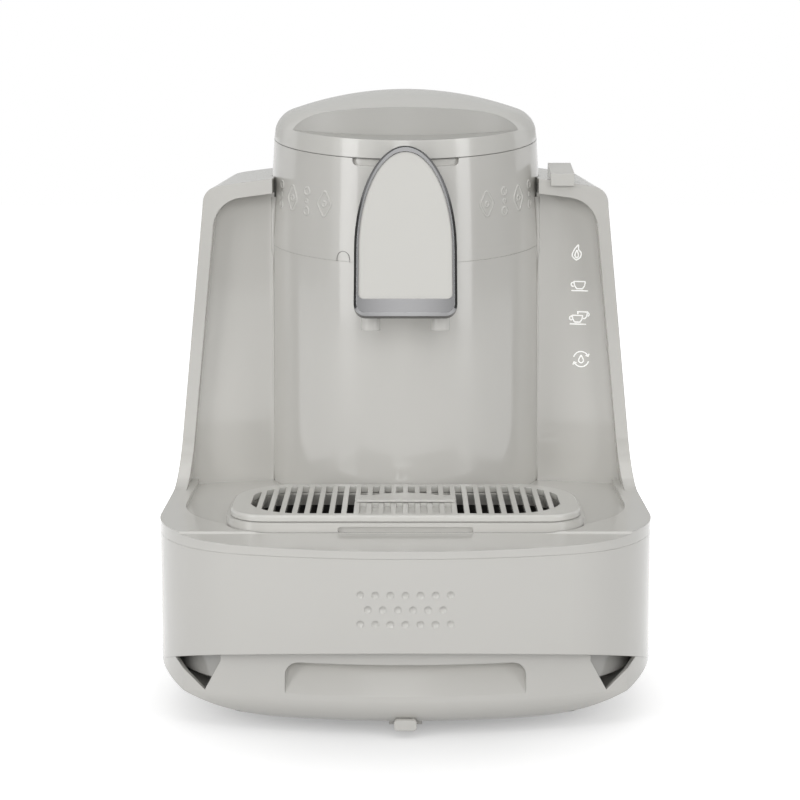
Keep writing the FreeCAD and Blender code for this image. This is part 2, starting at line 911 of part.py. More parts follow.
def make_pot_collar():
    reach = head_form(head_wall, dish_z)
    plate = upright(column_radius, 0, head_y, collar_z - collar_thickness, collar_z).common(reach)
    plate = plate.cut(upright(pot_radius, 0, head_y, 0, FAR))
    return plate.cut(upright(tube_radius + running_gap, riser_x, head_y, 0, FAR))


def make_pot_seal():
    inner = pot_radius - pot_wall
    return ring(inner + seal_width, inner, 0, head_y, pot_rim_z, pot_rim_z + seal_height)


def make_heater_ring():
    return ring(heater_outer, heater_inner, 0, head_y, pot_bottom_z - heater_height, pot_bottom_z)


def make_thermostat():
    return upright(thermostat_radius, 0, head_y, pot_bottom_z - thermostat_height, pot_bottom_z)


def make_thermal_fuse():
    y = head_y + (heater_inner + heater_outer) / 2
    z = pot_bottom_z - heater_height - fuse_radius
    return rod(fuse_radius, V(-fuse_half, y, z), V(fuse_half, y, z))


def make_outlet_valve():
    body = upright(valve_radius, 0, valve_y, pot_bottom_z - valve_height, pot_bottom_z)
    return body.cut(upright(pot_outlet_radius, 0, valve_y, duct_z, pot_bottom_z + 1))


def duct_solid(radius):
    start = V(0, valve_y - valve_radius + 0.5, duct_z)
    shape = rod(radius, start, V(0, nozzle_y, duct_z))
    reach = nozzle_x + radius + duct_step
    shape = shape.fuse(rod(radius + duct_step, V(-reach, nozzle_y, duct_z), V(reach, nozzle_y, duct_z)))
    for side in (-1, 1):
        shape = shape.fuse(upright(radius, side * nozzle_x, nozzle_y, beak_low_z + beak_wall, duct_z))
    return shape


def make_spout_duct():
    return duct_solid(duct_radius).cut(duct_solid(duct_bore)).cut(make_outlet_valve())


# Beak, nozzles and shield. The shield leans back from its lower edge.

def shield_line_y(z, setback):
    """Y of a plane parallel to the shield's front, setback behind it, at height z."""
    lean = math.radians(shield_lean)
    return shield_bottom_y + setback / math.cos(lean) + (z - shield_bottom_z) * math.tan(lean)


def beak_form(inset):
    low = beak_low_z + inset
    high = beak_high_z - inset
    setback = shield_depth + running_gap + inset
    face = outlined(
        on_side(-beak_half + inset),
        (head_y, low),
        (shield_line_y(low, setback), low),
        (shield_line_y(high, setback), high),
        (head_y, high),
    )
    return face.extrude(RIGHT * 2 * (beak_half - inset))


def peg_spots():
    low = shield_bottom_z + peg_low
    high = shield_bottom_z + peg_high
    return [(-peg_x, low), (peg_x, low), (0, high)]


def make_beak_housing():
    beak = beak_form(0).cut(beak_form(beak_wall)).cut(head_form(0, dish_z))
    for side in (-1, 1):
        beak = beak.cut(upright(nozzle_radius, side * nozzle_x, nozzle_y, 0, beak_low_z + beak_wall + 1))
    for x, z in peg_spots():
        y = shield_line_y(z, 0)
        beak = beak.cut(rod(peg_radius + running_gap, V(x, y, z), V(x, y + shield_depth + 9, z)))
    return beak


def make_outlet_nozzles():
    top = beak_low_z + beak_wall
    return Part.makeCompound(
        [ring(nozzle_radius, nozzle_bore, side * nozzle_x, nozzle_y, nozzle_low_z, top) for side in (-1, 1)]
    )


def arch_prism(side, top, bottom, corner, depth0, depth1):
    """Arched plate, drawn in from the shield's outline by side, top and bottom, between two depths."""
    a = shield_half - side
    b = shield_arch - top
    spring = shield_length - shield_arch
    curve = Part.Ellipse(V(0, depth0, spring + b), V(a, depth0, spring), V(0, depth0, spring))
    arch = Part.Arc(curve, -math.pi / 2, math.pi / 2).toShape()
    if abs(arch.valueAt(arch.FirstParameter).z - spring) > 0.01 or arch.BoundBox.ZMax < spring + b - 0.01:
        arch = Part.Arc(curve, math.pi / 2, 3 * math.pi / 2).toShape()
    left, right = sorted((arch.Vertexes[0].Point, arch.Vertexes[-1].Point), key=lambda p: p.x)
    place = on_front(depth0)
    cut = corner * (1 - math.sqrt(0.5))
    edges = [
        Part.LineSegment(right, place(a, bottom + corner)),
        Part.Arc(place(a, bottom + corner), place(a - cut, bottom + cut), place(a - corner, bottom)),
        Part.LineSegment(place(a - corner, bottom), place(corner - a, bottom)),
        Part.Arc(place(corner - a, bottom), place(cut - a, bottom + cut), place(-a, bottom + corner)),
        Part.LineSegment(place(-a, bottom + corner), left),
    ]
    wire = Part.Wire(Part.__sortEdges__([arch] + [e.toShape() for e in edges]))
    return Part.Face(wire).extrude(V(0, depth1 - depth0, 0))


def lean_back(shape):
    """Puts a piece made upright at the origin on the leaning line of the shield."""
    shape.rotate(V(0, 0, 0), RIGHT, -shield_lean)
    shape.translate(V(0, shield_bottom_y, shield_bottom_z))
    return shape


def make_shield_bezel():
    plate = arch_prism(0, 0, 0, shield_corner, 0, shield_depth)
    rim = [e for e in plate.Edges if e.BoundBox.YMax < 0.01]
    plate = plate.makeChamfer(bezel_round, rim)
    hole = arch_prism(bezel_side, bezel_top, bezel_bottom, panel_corner, -1, shield_depth + 1)
    return lean_back(plate.cut(hole))


def make_shield_panel():
    return lean_back(
        arch_prism(bezel_side, bezel_top, bezel_bottom, panel_corner, panel_inset, panel_inset + panel_thickness)
    )


def make_shield_carrier():
    plate = arch_prism(
        bezel_side, bezel_top, bezel_bottom, panel_corner, panel_inset + panel_thickness, shield_depth
    )
    plate = lean_back(plate)
    for x, z in peg_spots():
        y = shield_line_y(z, shield_depth)
        plate = plate.fuse(rod(peg_radius, V(x, y - 1, z), V(x, y + peg_length, z)))
    return plate


# Drip tray, grid and float

def make_drip_tray():
    low = dish_z + running_gap
    tray = tray_form(0, low, tray_top_z)
    tray = tray.cut(tray_form(tray_wall, low - 1, tray_top_z - tray_wall))
    tray = tray.fuse(tray_form(tray_flange, tray_bowl_z, tray_top_z))
    tray = tray.cut(tray_form(tray_flange + tray_wall, tray_bowl_z + tray_wall, tray_top_z + 1))
    slot = rounded(
        on_front(tray_front_y - 1),
        rectangle(-tray_slot_half, tray_slot_half, tray_slot_low_z, tray_slot_high_z, 1, 1),
    ).extrude(V(0, tray_wall + 2, 0))
    return tray.cut(slot).removeSplitter()


def make_drip_grid():
    low = tray_top_z + grid_gap
    corners = rectangle(
        -tray_half + grid_inset,
        tray_half - grid_inset,
        tray_front_y + grid_inset,
        tray_back_y - grid_inset,
        tray_front_corner - grid_inset,
        tray_back_corner - grid_inset,
    )
    grid = rounded(on_plan(low), corners).extrude(UP * (grid_top_z - low))
    grid = grid.makeFillet(1.0, [e for e in grid.Edges if e.BoundBox.ZMin > grid_top_z - 0.01])
    rib_out = tray_flange + tray_wall + 2 * running_gap
    rib = tray_form(rib_out, low - grid_rib_depth, low + 1).cut(
        tray_form(rib_out + grid_rib, low - grid_rib_depth - 1, low + 2)
    )
    field = rounded(
        on_plan(0), rectangle(-field_half, field_half, field_front_y, field_back_y, grid_corner, grid_corner)
    ).extrude(UP * FAR)
    slots = []
    for i in range(slot_count):
        x = (i - (slot_count - 1) / 2) * slot_pitch
        x0, x1 = x - slot_width / 2, x + slot_width / 2
        if abs(x) < split_half:
            slots.append(box(x0, x1, back_row_front_y, field_back_y, 0, FAR))
            slots.append(box(x0, x1, field_front_y, front_row_back_y, grid_top_z - pocket_depth, FAR))
        else:
            slots.append(box(x0, x1, field_front_y, field_back_y, 0, FAR))
    slots = Part.makeCompound(slots).common(field)
    grid = grid.fuse(rib).cut(slots)
    return grid.cut(upright(stem_radius + stem_play, 0, stem_y, 0, FAR)).removeSplitter()


def make_float_cap():
    low = grid_top_z + running_gap
    lens = outlined(
        on_plan(low),
        (-split_half, front_row_back_y),
        (split_half, front_row_back_y),
        ((0, cap_back_y), (-split_half, front_row_back_y)),
    ).extrude(UP * cap_thickness)
    return lens.fuse(upright(stem_radius, 0, stem_y, bob_high_z, low))


def make_float_bob():
    return upright(bob_radius, 0, stem_y, bob_low_z, bob_high_z)


# Water tank and dock

def make_water_tank():
    tank = tank_form(0, tank_low_z, tank_high_z)
    void = tank_form(tank_wall, tank_low_z + tank_wall, tank_high_z + 1)
    grown = tank_wall
    pocket = box(-grip_half, grip_half, back_y - grip_depth, FAR, grip_low_z, grip_high_z)
    pocket_wall = box(
        -grip_half - grown, grip_half + grown, back_y - grip_depth - grown, FAR, grip_low_z - grown, grip_high_z + grown
    )
    tank = tank.cut(void.cut(pocket_wall)).cut(pocket)
    hole = rod(port_bore, V(port_x, tank_arm_y - 1, port_z), V(port_x, tank_arm_y + tank_wall + 1, port_z))
    return tank.cut(hole)


def make_tank_valve():
    start = V(port_x, tank_arm_y - port_length, port_z)
    body = rod(port_radius, start, V(port_x, tank_arm_y, port_z))
    return body.cut(rod(port_bore, start - V(0, 1, 0), V(port_x, tank_arm_y + 1, port_z)))


def make_tank_dock():
    plate = tank_form(wing_wall + running_gap, deck_z, tank_low_z - running_gap)
    front = tank_arm_y - running_gap
    block = box(
        port_x - dock_block_half, port_x + dock_block_half, front - dock_block_depth, front, deck_z, dock_block_top
    )
    bore = port_radius + dock_seal_width + running_gap
    block = block.cut(rod(bore, V(port_x, front - port_length - 1, port_z), V(port_x, front + 1, port_z)))
    y = tank_arm_y - dock_block_depth / 2
    plate = plate.fuse(box(port_x - dock_block_half, port_x + dock_block_half, front - 2, front + 4, deck_z, tank_low_z - running_gap))
    return plate.fuse(block).cut(upright(tube_radius, port_x, y, deck_z - 1, deck_z + 4)).removeSplitter()


def make_dock_seal():
    front = tank_arm_y - running_gap
    outer = port_radius + dock_seal_width + running_gap
    start = V(port_x, front - port_length, port_z)
    end = V(port_x, front - 1, port_z)
    return rod(outer, start, end).cut(rod(port_radius + running_gap, start - V(0, 1, 0), end + V(0, 1, 0)))


# Pump, tubes and boards

def make_pump():
    body = rod(pump_radius, V(pump_x, pump_front_y, pump_z), V(pump_x, pump_back_y, pump_z))
    stubs = rod(
        pump_stub_radius,
        V(pump_x, pump_front_y - pump_stub_length, pump_z),
        V(pump_x, pump_back_y + pump_stub_length, pump_z),
    )
    return body.fuse(stubs)


def make_pump_mount():
    block = box(
        pump_x - mount_half,
        pump_x + mount_half,
        pump_front_y + mount_inset,
        pump_back_y - mount_inset,
        pan_bottom_z,
        pump_z - pump_radius / 3,
    )
    return block.common(pan_form(pan_wall)).cut(make_pump())


def make_inlet_tube():
    y = tank_arm_y - dock_block_depth / 2
    return pipe(
        tube_radius,
        [
            (port_x, y, deck_z + 4),
            (port_x, y, gland_z),
            (port_x, inlet_back_y, gland_z),
            (pump_x, inlet_back_y, pump_z),
            (pump_x, pump_back_y + pump_stub_length, pump_z),
        ],
    )


def make_outlet_tube():
    bend_y = pump_front_y - pump_stub_length - 9
    return pipe(
        tube_radius,
        [
            (pump_x, pump_front_y - pump_stub_length, pump_z),
            (pump_x, bend_y, pump_z),
            (pump_x, bend_y, gland_z),
            (riser_x, head_y, gland_z + 15),
            (riser_x, head_y, fill_z),
            (fill_x, head_y, fill_z),
            (fill_x, head_y, pot_rim_z - 3),
        ],
    )


def make_board(corners):
    x0, x1, y0, y1 = corners
    return box(x0, x1, y0, y1, board_z, board_z + board_thickness)


def make_power_parts():
    x0, x1, y0, y1 = power_board_box
    top = board_z + board_thickness
    along, across, high = transformer_size
    x, y = x0 + 2 * post_inset, y0 + 2 * post_inset
    transformer = box(x, x + along, y, y + across, top, top + high)
    side, high = relay_size
    x = x1 - 2 * post_inset
    relay = box(x - side, x, y, y + side, top, top + high)
    radius, high = capacitor_size
    y = y1 - 2 * post_inset - radius
    capacitor = upright(radius, (x0 + x1) / 2, y, top, top + high)
    return Part.makeCompound([transformer, relay, capacitor])


def make_buzzer():
    x0, x1, y0, y1 = control_board_box
    top = board_z + board_thickness
    return ring(buzzer_radius, 1.2, (x0 + x1) / 2, (y0 + y1) / 2, top, top + buzzer_height)


def make_touch_board():
    inner, outer = touch_board_inner_x, touch_board_outer_x
    near = wing_wall
    far = wing_wall + board_thickness
    face = outlined(
        on_plan(touch_board_low_z),
        (inner, wing_face_y(inner) + near),
        (outer, wing_face_y(outer) + near),
        (outer, wing_face_y(outer) + far),
        (inner, wing_face_y(inner) + far),
    )
    return face.extrude(UP * (touch_board_high_z - touch_board_low_z))


# Size selector

def make_size_selector():
    x0, x1 = selector_x - selector_half, selector_x + selector_half
    roof_z = crown_z - x0**2 / (2 * crown_radius) + running_gap
    inner_y = wing_front_y - running_gap
    outer_y = inner_y - selector_lip
    cap = outlined(
        on_side(x0),
        (outer_y, selector_low_z),
        (outer_y, selector_front_z),
        (selector_back_y, selector_back_z),
        (selector_back_y, roof_z),
        (inner_y, roof_z),
        (inner_y, selector_low_z),
    ).extrude(RIGHT * (x1 - x0))
    half = selector_stem_half
    stem = box(
        selector_x - half,
        selector_x + half,
        selector_stem_y - half,
        selector_stem_y + half,
        selector_stem_low_z,
        roof_z + 1,
    )
    return cap.fuse(stem).removeSplitter()


def make_selector_switch():
    drop = selector_travel * selector_x / crown_radius
    top = selector_stem_low_z - drop - 2 * running_gap
    y0 = wing_face_y(selector_x) + wing_wall
    x1 = selector_x + selector_travel + switch_end
    block = box(selector_x - switch_end, x1, y0 - wing_wall, y0 + switch_depth, top - switch_height, top)
    return block.cut(in_front_of_faces(wing_wall, 0, FAR))


PARTS = {
    "base_pan": make_base_pan(),
    "pan_screws": make_pan_screws(),
    "lower_housing": make_lower_housing(),
    "cord_gland": make_cord_gland(),
    "foot_front_left": make_foot(-1, foot_front_y),
    "foot_front_right": make_foot(1, foot_front_y),
    "foot_rear_left": make_foot(-1, foot_rear_y),
    "foot_rear_right": make_foot(1, foot_rear_y),
    "front_tab": make_front_tab(),
    "upper_housing": make_upper_housing(),
    "column_shell": make_column_shell(),
    "head_ring": make_head_ring(),
    "hinge_pin": make_hinge_pin(),
    "lid_shell": make_lid_shell(),
    "lid_liner": make_lid_liner(),
    "lid_gasket": make_lid_gasket(),
    "brew_pot": make_brew_pot(),
    "pot_bracket": make_pot_bracket(),
    "pot_collar": make_pot_collar(),
    "pot_seal": make_pot_seal(),
    "heater_ring": make_heater_ring(),
    "thermostat": make_thermostat(),
    "thermal_fuse": make_thermal_fuse(),
    "outlet_valve": make_outlet_valve(),
    "spout_duct": make_spout_duct(),
    "beak_housing": make_beak_housing(),
    "outlet_nozzles": make_outlet_nozzles(),
    "shield_bezel": make_shield_bezel(),
    "shield_panel": make_shield_panel(),
    "shield_carrier": make_shield_carrier(),
    "drip_tray": make_drip_tray(),
    "drip_grid": make_drip_grid(),
    "float_cap": make_float_cap(),
    "float_bob": make_float_bob(),
    "water_tank": make_water_tank(),
    "tank_valve": make_tank_valve(),
    "tank_dock": make_tank_dock(),
    "dock_seal": make_dock_seal(),
    "pump": make_pump(),
    "pump_mount": make_pump_mount(),
    "inlet_tube": make_inlet_tube(),
    "outlet_tube": make_outlet_tube(),
    "power_board": make_board(power_board_box),
    "power_parts": make_power_parts(),
    "control_board": make_board(control_board_box),
    "buzzer": make_buzzer(),
    "touch_board": make_touch_board(),
    "size_selector": make_size_selector(),
    "selector_switch": make_selector_switch(),
}

os.makedirs("parts", exist_ok=True)
for name, shape in PARTS.items():
    solids = len(shape.Solids)
    state = "" if shape.isValid() and solids else "  CHECK"
    print(f"{name:18s} solids {solids}  volume {shape.Volume / 1000:8.2f} cm3{state}")
    shape.exportStep(f"parts/{name}.step")
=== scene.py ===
"""Looks of an electric turkish coffee maker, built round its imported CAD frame.

Laid out as an add-on. One operator gives the CAD pieces their finishes, one recuts two housings, and
one each makes the linings, the dimples, the ornament band, the seams, the touch icons and the stage.
Metres; +Z is up and -Y is the front. Sizes in capitals are in millimetres, as in the CAD.
"""

import json
import math

import bmesh
import bpy
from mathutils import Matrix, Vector

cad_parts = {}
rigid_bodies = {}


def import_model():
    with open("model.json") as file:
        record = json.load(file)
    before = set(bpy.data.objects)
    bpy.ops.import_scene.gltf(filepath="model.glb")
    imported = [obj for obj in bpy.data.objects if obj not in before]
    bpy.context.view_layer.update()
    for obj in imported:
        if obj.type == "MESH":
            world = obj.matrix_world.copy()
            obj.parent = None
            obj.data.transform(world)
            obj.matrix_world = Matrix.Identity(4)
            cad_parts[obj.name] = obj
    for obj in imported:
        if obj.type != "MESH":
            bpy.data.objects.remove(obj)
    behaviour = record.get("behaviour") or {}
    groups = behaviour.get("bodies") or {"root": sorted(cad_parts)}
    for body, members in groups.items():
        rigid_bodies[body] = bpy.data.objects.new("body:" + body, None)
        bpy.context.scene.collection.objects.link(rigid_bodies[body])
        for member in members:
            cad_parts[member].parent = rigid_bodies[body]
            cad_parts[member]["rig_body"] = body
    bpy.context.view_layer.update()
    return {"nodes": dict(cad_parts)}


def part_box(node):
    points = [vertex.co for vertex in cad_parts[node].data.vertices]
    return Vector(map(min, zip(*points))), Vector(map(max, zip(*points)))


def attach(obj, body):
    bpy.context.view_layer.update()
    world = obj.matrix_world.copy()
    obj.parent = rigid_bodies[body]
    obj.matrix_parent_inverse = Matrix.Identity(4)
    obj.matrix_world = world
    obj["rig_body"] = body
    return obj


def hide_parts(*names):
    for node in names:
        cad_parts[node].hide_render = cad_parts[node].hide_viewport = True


bl_info = {
    "name": "Turkish Coffee Maker",
    "version": (1, 0, 0),
    "blender": (4, 5, 0),
    "location": "3D View > Sidebar > Coffee Maker",
    "description": "Finishes, linings, ornament band, seams, touch icons and stage",
    "category": "Object",
}

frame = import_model()

MM = 0.001

# The head and the column under it, as the CAD frame has them
HEAD_Y = 27.4
COLUMN_RADIUS = 67.5
MID_RADIUS = 66.9
MID_SEAM_Z = 201.0
MID_SEAM_TILT = math.radians(5.8)
LID_RADIUS = 64.0
LID_SEAM_Z = 250.2
LID_SEAM_TILT = math.radians(7.4)
SCOOP_RADIUS = 100.0
SCOOP_FRONT = 50.0
SCOOP_FLOOR = 8.8

# The upper housing: deck, bore round the column, ends of its lip, and the touch panel's face
DECK_Z = 83.5
HOUSING_BORE = 67.8
LIP_END_X = 62.9
FACE_INNER_X = 66.0
FACE_OUTER_X = 96.0
FACE_OUTER_Y = -1.6
FACE_SLOPE = 0.25

# The shield: the foot of its leaning plane, and its arched outline in that plane
SHIELD_BOTTOM_Y = -76.6
SHIELD_BOTTOM_Z = 175.6
SHIELD_LEAN = math.radians(23.5)
SHIELD_LENGTH = 80.0
SHIELD_HALF = 22.85
SHIELD_ARCH = 49.0

# The base: its corner's arc, the arc that draws the pan in below a height, and the bowed front
CORNER_X = 59.0
CORNER_Y = -73.7
CORNER_RADIUS = 50.0
PAN_ARC_RADIUS = 110.0
PAN_ARC_Z = 116.0
PAN_TURN_Z = 23.2
FRONT_ARC_RADIUS = 293.0
FRONT_ARC_Y = 162.0

# The tray's pearl starts at the underside of its rim
TRAY_RIM_Z = 84.6


# Sizes and colours that a user would change

def metres(label, description, default):
    """A length in metres."""
    return bpy.props.FloatProperty(
        name=label, description=description, subtype="DISTANCE", unit="LENGTH", min=0, default=default,
    )


def paint(label, description, default):
    """A colour in linear light."""
    return bpy.props.FloatVectorProperty(
        name=label, description=description, subtype="COLOR", size=3, min=0, max=1, default=default,
    )


def fraction(label, description, default):
    """A number from 0 to 1."""
    return bpy.props.FloatProperty(
        name=label, description=description, subtype="FACTOR", min=0, max=1, default=default,
    )


class FinishSettings(bpy.types.PropertyGroup):
    pearl: paint("Pearl", "Colour of the housings", (0.600, 0.590, 0.560))
    light_pearl: paint(
        "Light pearl", "Colour of the lid, grid, shield and selector", (0.630, 0.622, 0.590),
    )
    gloss: fraction("Gloss roughness", "Roughness of the glossy plastic", 0.15)
    edge: metres("Edge rounding", "Rounding that the light sees on moulded edges", 0.0006)


class LiningSettings(bpy.types.PropertyGroup):
    pocket_depth: metres("Pocket depth", "How far the corner windows are hollow", 0.0046)
    # Painted shade: how far the corner pockets' pearl is darkened
    pocket_shade: fraction("Pocket shade", "The pockets' share of the housings' colour", 0.62)
    bead_overlap: metres("Bead overlap", "How far the column's beads reach past their gap", 0.0003)


class DimpleSettings(bpy.types.PropertyGroup):
    radius: metres("Radius", "Radius of a dimple", 0.0015)
    depth: metres("Depth", "Depth of a dimple's bowl", 0.00075)
    pitch: metres("Pitch", "Distance between dimples in a row", 0.00629)
    row_step: metres("Row step", "Distance between rows", 0.00625)
    top: metres("Top", "Height of the upper row", 0.065)


class BandSettings(bpy.types.PropertyGroup):
    height: metres("Height", "Height of the band's middle on the head's axis", 0.2273)
    first_angle: bpy.props.FloatProperty(
        name="First angle", description="Angle from the front to the first motif", subtype="ANGLE",
        unit="ROTATION", default=math.radians(35.0),
    )
    pitch: metres("Pitch", "Distance between motifs round the head", 0.0112)
    count: bpy.props.IntProperty(name="Motifs", description="Motifs on each side", min=1, default=4)
    motif: metres("Motif height", "Height of a lozenge", 0.0135)
    stroke: metres("Stroke", "Radius of the raised line", 0.00070)
    relief: metres("Relief", "How far the line stands proud", 0.00040)


class SeamSettings(bpy.types.PropertyGroup):
    # Painted shade: the colour of the beads that stand for the shade down in the parting lines and the arch
    # mark
    shade: paint("Shade", "Colour down in a parting line", (0.20, 0.195, 0.185))
    width: metres("Width", "Width of a parting line", 0.00030)
    arch_half_width: metres("Arch half width", "Half the width of the arch mark", 0.0033)
    arch_rise: metres("Arch rise", "Height of the arch mark", 0.0047)
    arch_line: metres("Arch line", "Width of the arch mark's line", 0.00028)


class IconSettings(bpy.types.PropertyGroup):
    ink: paint("Ink", "Colour of the printed icons", (0.92, 0.92, 0.90))
    stroke: metres("Stroke", "Width of an icon's line", 0.00052)
    thickness: metres("Print thickness", "Height of the print over the panel", 0.00006)


class StageSettings(bpy.types.PropertyGroup):
    camera_place: bpy.props.FloatVectorProperty(
        name="Camera", description="Place of the camera", subtype="TRANSLATION", unit="LENGTH", size=3,
        default=(0.0, -0.8766, 0.282),
    )
    camera_dip: bpy.props.FloatProperty(
        name="Camera dip", description="How far the camera looks down", subtype="ANGLE", unit="ROTATION",
        default=math.radians(7.22),
    )
    lens: bpy.props.FloatProperty(
        name="Lens", description="Focal length in millimetres", min=10, default=82.83,
    )
    shift: bpy.props.FloatVectorProperty(
        name="Shift", description="Shift of the picture, as a share of its width", size=2,
        default=(-5.5 / 800, -0.12),
    )
    floor: paint("Floor", "Colour of the floor", (0.58, 0.58, 0.58))
    ambient: fraction("Ambient", "Brightness of the surround as a light", 0.30)


class CoffeeMakerSettings(bpy.types.PropertyGroup):
    finish: bpy.props.PointerProperty(type=FinishSettings)
    lining: bpy.props.PointerProperty(type=LiningSettings)
    dimple: bpy.props.PointerProperty(type=DimpleSettings)
    band: bpy.props.PointerProperty(type=BandSettings)
    seam: bpy.props.PointerProperty(type=SeamSettings)
    icon: bpy.props.PointerProperty(type=IconSettings)
    stage: bpy.props.PointerProperty(type=StageSettings)


# Node trees: one method makes any node, and values combine as Python expressions

def math_method(operation, turned=False):
    """A method that adds one Math node, with its two terms turned round where that is asked for."""
    def combine(*terms):
        ordered = terms[::-1] if turned else terms
        return terms[0].tree.add("ShaderNodeMath", dict(enumerate(ordered)), operation=operation)
    return combine


class Value:
    """An output socket that takes part in sums and adds the Math nodes they need."""

    def __init__(self, tree, socket):
        self.tree = tree
        self.socket = socket

    __add__ = math_method("ADD")
    __radd__ = math_method("ADD", turned=True)
    __sub__ = math_method("SUBTRACT")
    __rsub__ = math_method("SUBTRACT", turned=True)
    __mul__ = math_method("MULTIPLY")
    __rmul__ = math_method("MULTIPLY", turned=True)
    __truediv__ = math_method("DIVIDE")
    sin = math_method("SINE")
    cos = math_method("COSINE")
    tan = math_method("TANGENT")
    root = math_method("SQRT")
    size = math_method("ABSOLUTE")
    maximum = math_method("MAXIMUM")
    above = math_method("GREATER_THAN")

    def siblings(self):
        """All the outputs of this socket's node, in their order."""
        return [Value(self.tree, output) for output in self.socket.node.outputs]


class Tree:
    """A node tree with the one method that makes its nodes."""

    def __init__(self, tree):
        self.nodes = tree.nodes
        self.links = tree.links

    def add(self, kind, inputs=None, output=0, **settings):
        """Makes a node, sets its settings first and then its sockets, and returns one output."""
        node = self.nodes.new(kind)
        for name, setting in settings.items():
            setattr(node, name, setting)
        for key, given in (inputs or {}).items():
            socket = node.inputs[key]
            if isinstance(given, Value):
                self.links.new(given.socket, socket)
            else:
                socket.default_value = given
        if len(node.outputs) == 0:
            return node
        return Value(self, node.outputs[output])

    def parts(self, vector):
        """X, Y and Z of a vector."""
        return self.add("ShaderNodeSeparateXYZ", {0: vector}).siblings()

    def blend(self, factor, first, second):
        """Mixes two colours by a factor."""
        inputs = {"Factor": factor, 6: first, 7: second}
        return self.add("ShaderNodeMix", inputs, 2, data_type="RGBA")

    def vector(self, x=0.0, y=0.0, z=0.0):
        """A vector from its three numbers."""
        return self.add("ShaderNodeCombineXYZ", {"X": x, "Y": y, "Z": z})

    def ring(self, sides, radius):
        """A round curve in the XY plane."""
        inputs = {"Resolution": sides, "Radius": radius}
        return self.add("GeometryNodeCurvePrimitiveCircle", inputs, mode="RADIUS")

    def row(self, count, start, offset):
        """Points in a straight row."""
        inputs = {"Count": count, "Start Location": start, "Offset": offset}
        return self.add("GeometryNodeMeshLine", inputs, mode="OFFSET")

    def moved(self, geometry, position):
        """A geometry with each of its points moved to a position."""
        return self.add("GeometryNodeSetPosition", {"Geometry": geometry, "Position": position})

    def realized(self, geometry):
        return self.add("GeometryNodeRealizeInstances", {"Geometry": geometry})

    def joined(self, *parts):
        """Several geometries as one, in their order."""
        join = self.add("GeometryNodeJoinGeometry")
        for part in reversed(parts):
            self.links.new(part.socket, join.socket.node.inputs[0])
        return join


class Finish(Tree):
    """A new material whose one shader is a Principled BSDF."""

    def __init__(self, name):
        self.material = bpy.data.materials.new(name)
        self.material.use_nodes = True
        super().__init__(self.material.node_tree)
        self.nodes.clear()
        self.place = self.add("ShaderNodeTexCoord", output="Object")

    def noise(self, scale, detail=2.0, roughness=0.5, stretch=None):
        place = self.place
        if stretch is not None:
            place = self.add("ShaderNodeMapping", {"Vector": place, "Scale": stretch})
        inputs = {"Vector": place, "Scale": scale, "Detail": detail, "Roughness": roughness}
        return self.add("ShaderNodeTexNoise", inputs, "Fac")

    def clouded(self, factor, colour, spread):
        """A colour that varies by a spread either way."""
        return self.blend(factor, rgba(colour, 1 - spread), rgba(colour, 1 + spread))

    def bump(self, height, strength, distance, normal=None):
        inputs = {"Height": height, "Strength": strength, "Distance": distance}
        if normal is not None:
            inputs["Normal"] = normal
        return self.add("ShaderNodeBump", inputs)

    def rounding(self, radius):
        return self.add("ShaderNodeBevel", {"Radius": radius}, samples=4)

    def close(self, **sockets):
        """Adds the shader, given its sockets by name with _ for a space, and returns the material."""
        inputs = {name.replace("_", " "): given for name, given in sockets.items()}
        shader = self.add("ShaderNodeBsdfPrincipled", inputs)
        self.add("ShaderNodeOutputMaterial", {"Surface": shader})
        return self.material


def rgba(colour, share=1.0):
    """A colour scaled by share, with full alpha."""
    return tuple(min(1.0, part * share) for part in colour[:3]) + (1.0,)


# Finishes; a pearl tone varies by the spread either way

PEARL_SPREAD = 0.025


def glossy_pearl(name, colour, chosen):
    """Glossy moulded plastic with a fine orange peel and a barely clouded tint."""
    finish = Finish(name)
    cloud = finish.noise(14.0, 3.0)
    peel = finish.noise(900.0, 1.0)
    tint = finish.clouded(cloud, colour, PEARL_SPREAD)
    normal = finish.bump(peel, 0.05, 0.0001, finish.rounding(chosen.edge))
    return finish.close(
        Base_Color=tint,
        Roughness=chosen.gloss + 0.05 * cloud,
        Specular_IOR_Level=0.5,
        Coat_Weight=0.40,
        Coat_Roughness=0.05,
        Normal=normal,
    )


def lid_pearl(name, colour, chosen):
    """The lid's pearl with painted shade: darker in the thumb scoop, which is also duller."""
    finish = Finish(name)
    cloud = finish.noise(14.0, 3.0)
    across, along, up = finish.parts(finish.place)
    behind = along - (HEAD_Y - SCOOP_FRONT + SCOOP_RADIUS) * MM
    reach = (across * across + behind * behind).root()
    over_seam = up - LID_SEAM_Z * MM - (along - HEAD_Y * MM) * math.tan(LID_SEAM_TILT)
    # Painted shade: the thumb scoop's pearl is darkened to 0.72 for the shade under the lid's front wall; the
    # scoop is also rougher and less coated
    scoop_painted_shade = reach.above((SCOOP_RADIUS - 0.15) * MM) * over_seam.above((SCOOP_FLOOR - 0.1) * MM)
    tint = finish.clouded(cloud, colour, PEARL_SPREAD)
    return finish.close(
        Base_Color=finish.blend(scoop_painted_shade, tint, rgba(colour, 0.72)),
        Roughness=chosen.gloss + 0.05 * cloud + 0.2 * scoop_painted_shade,
        Coat_Weight=0.35 - 0.3 * scoop_painted_shade,
        Coat_Roughness=0.06,
        Normal=finish.rounding(chosen.edge),
    )


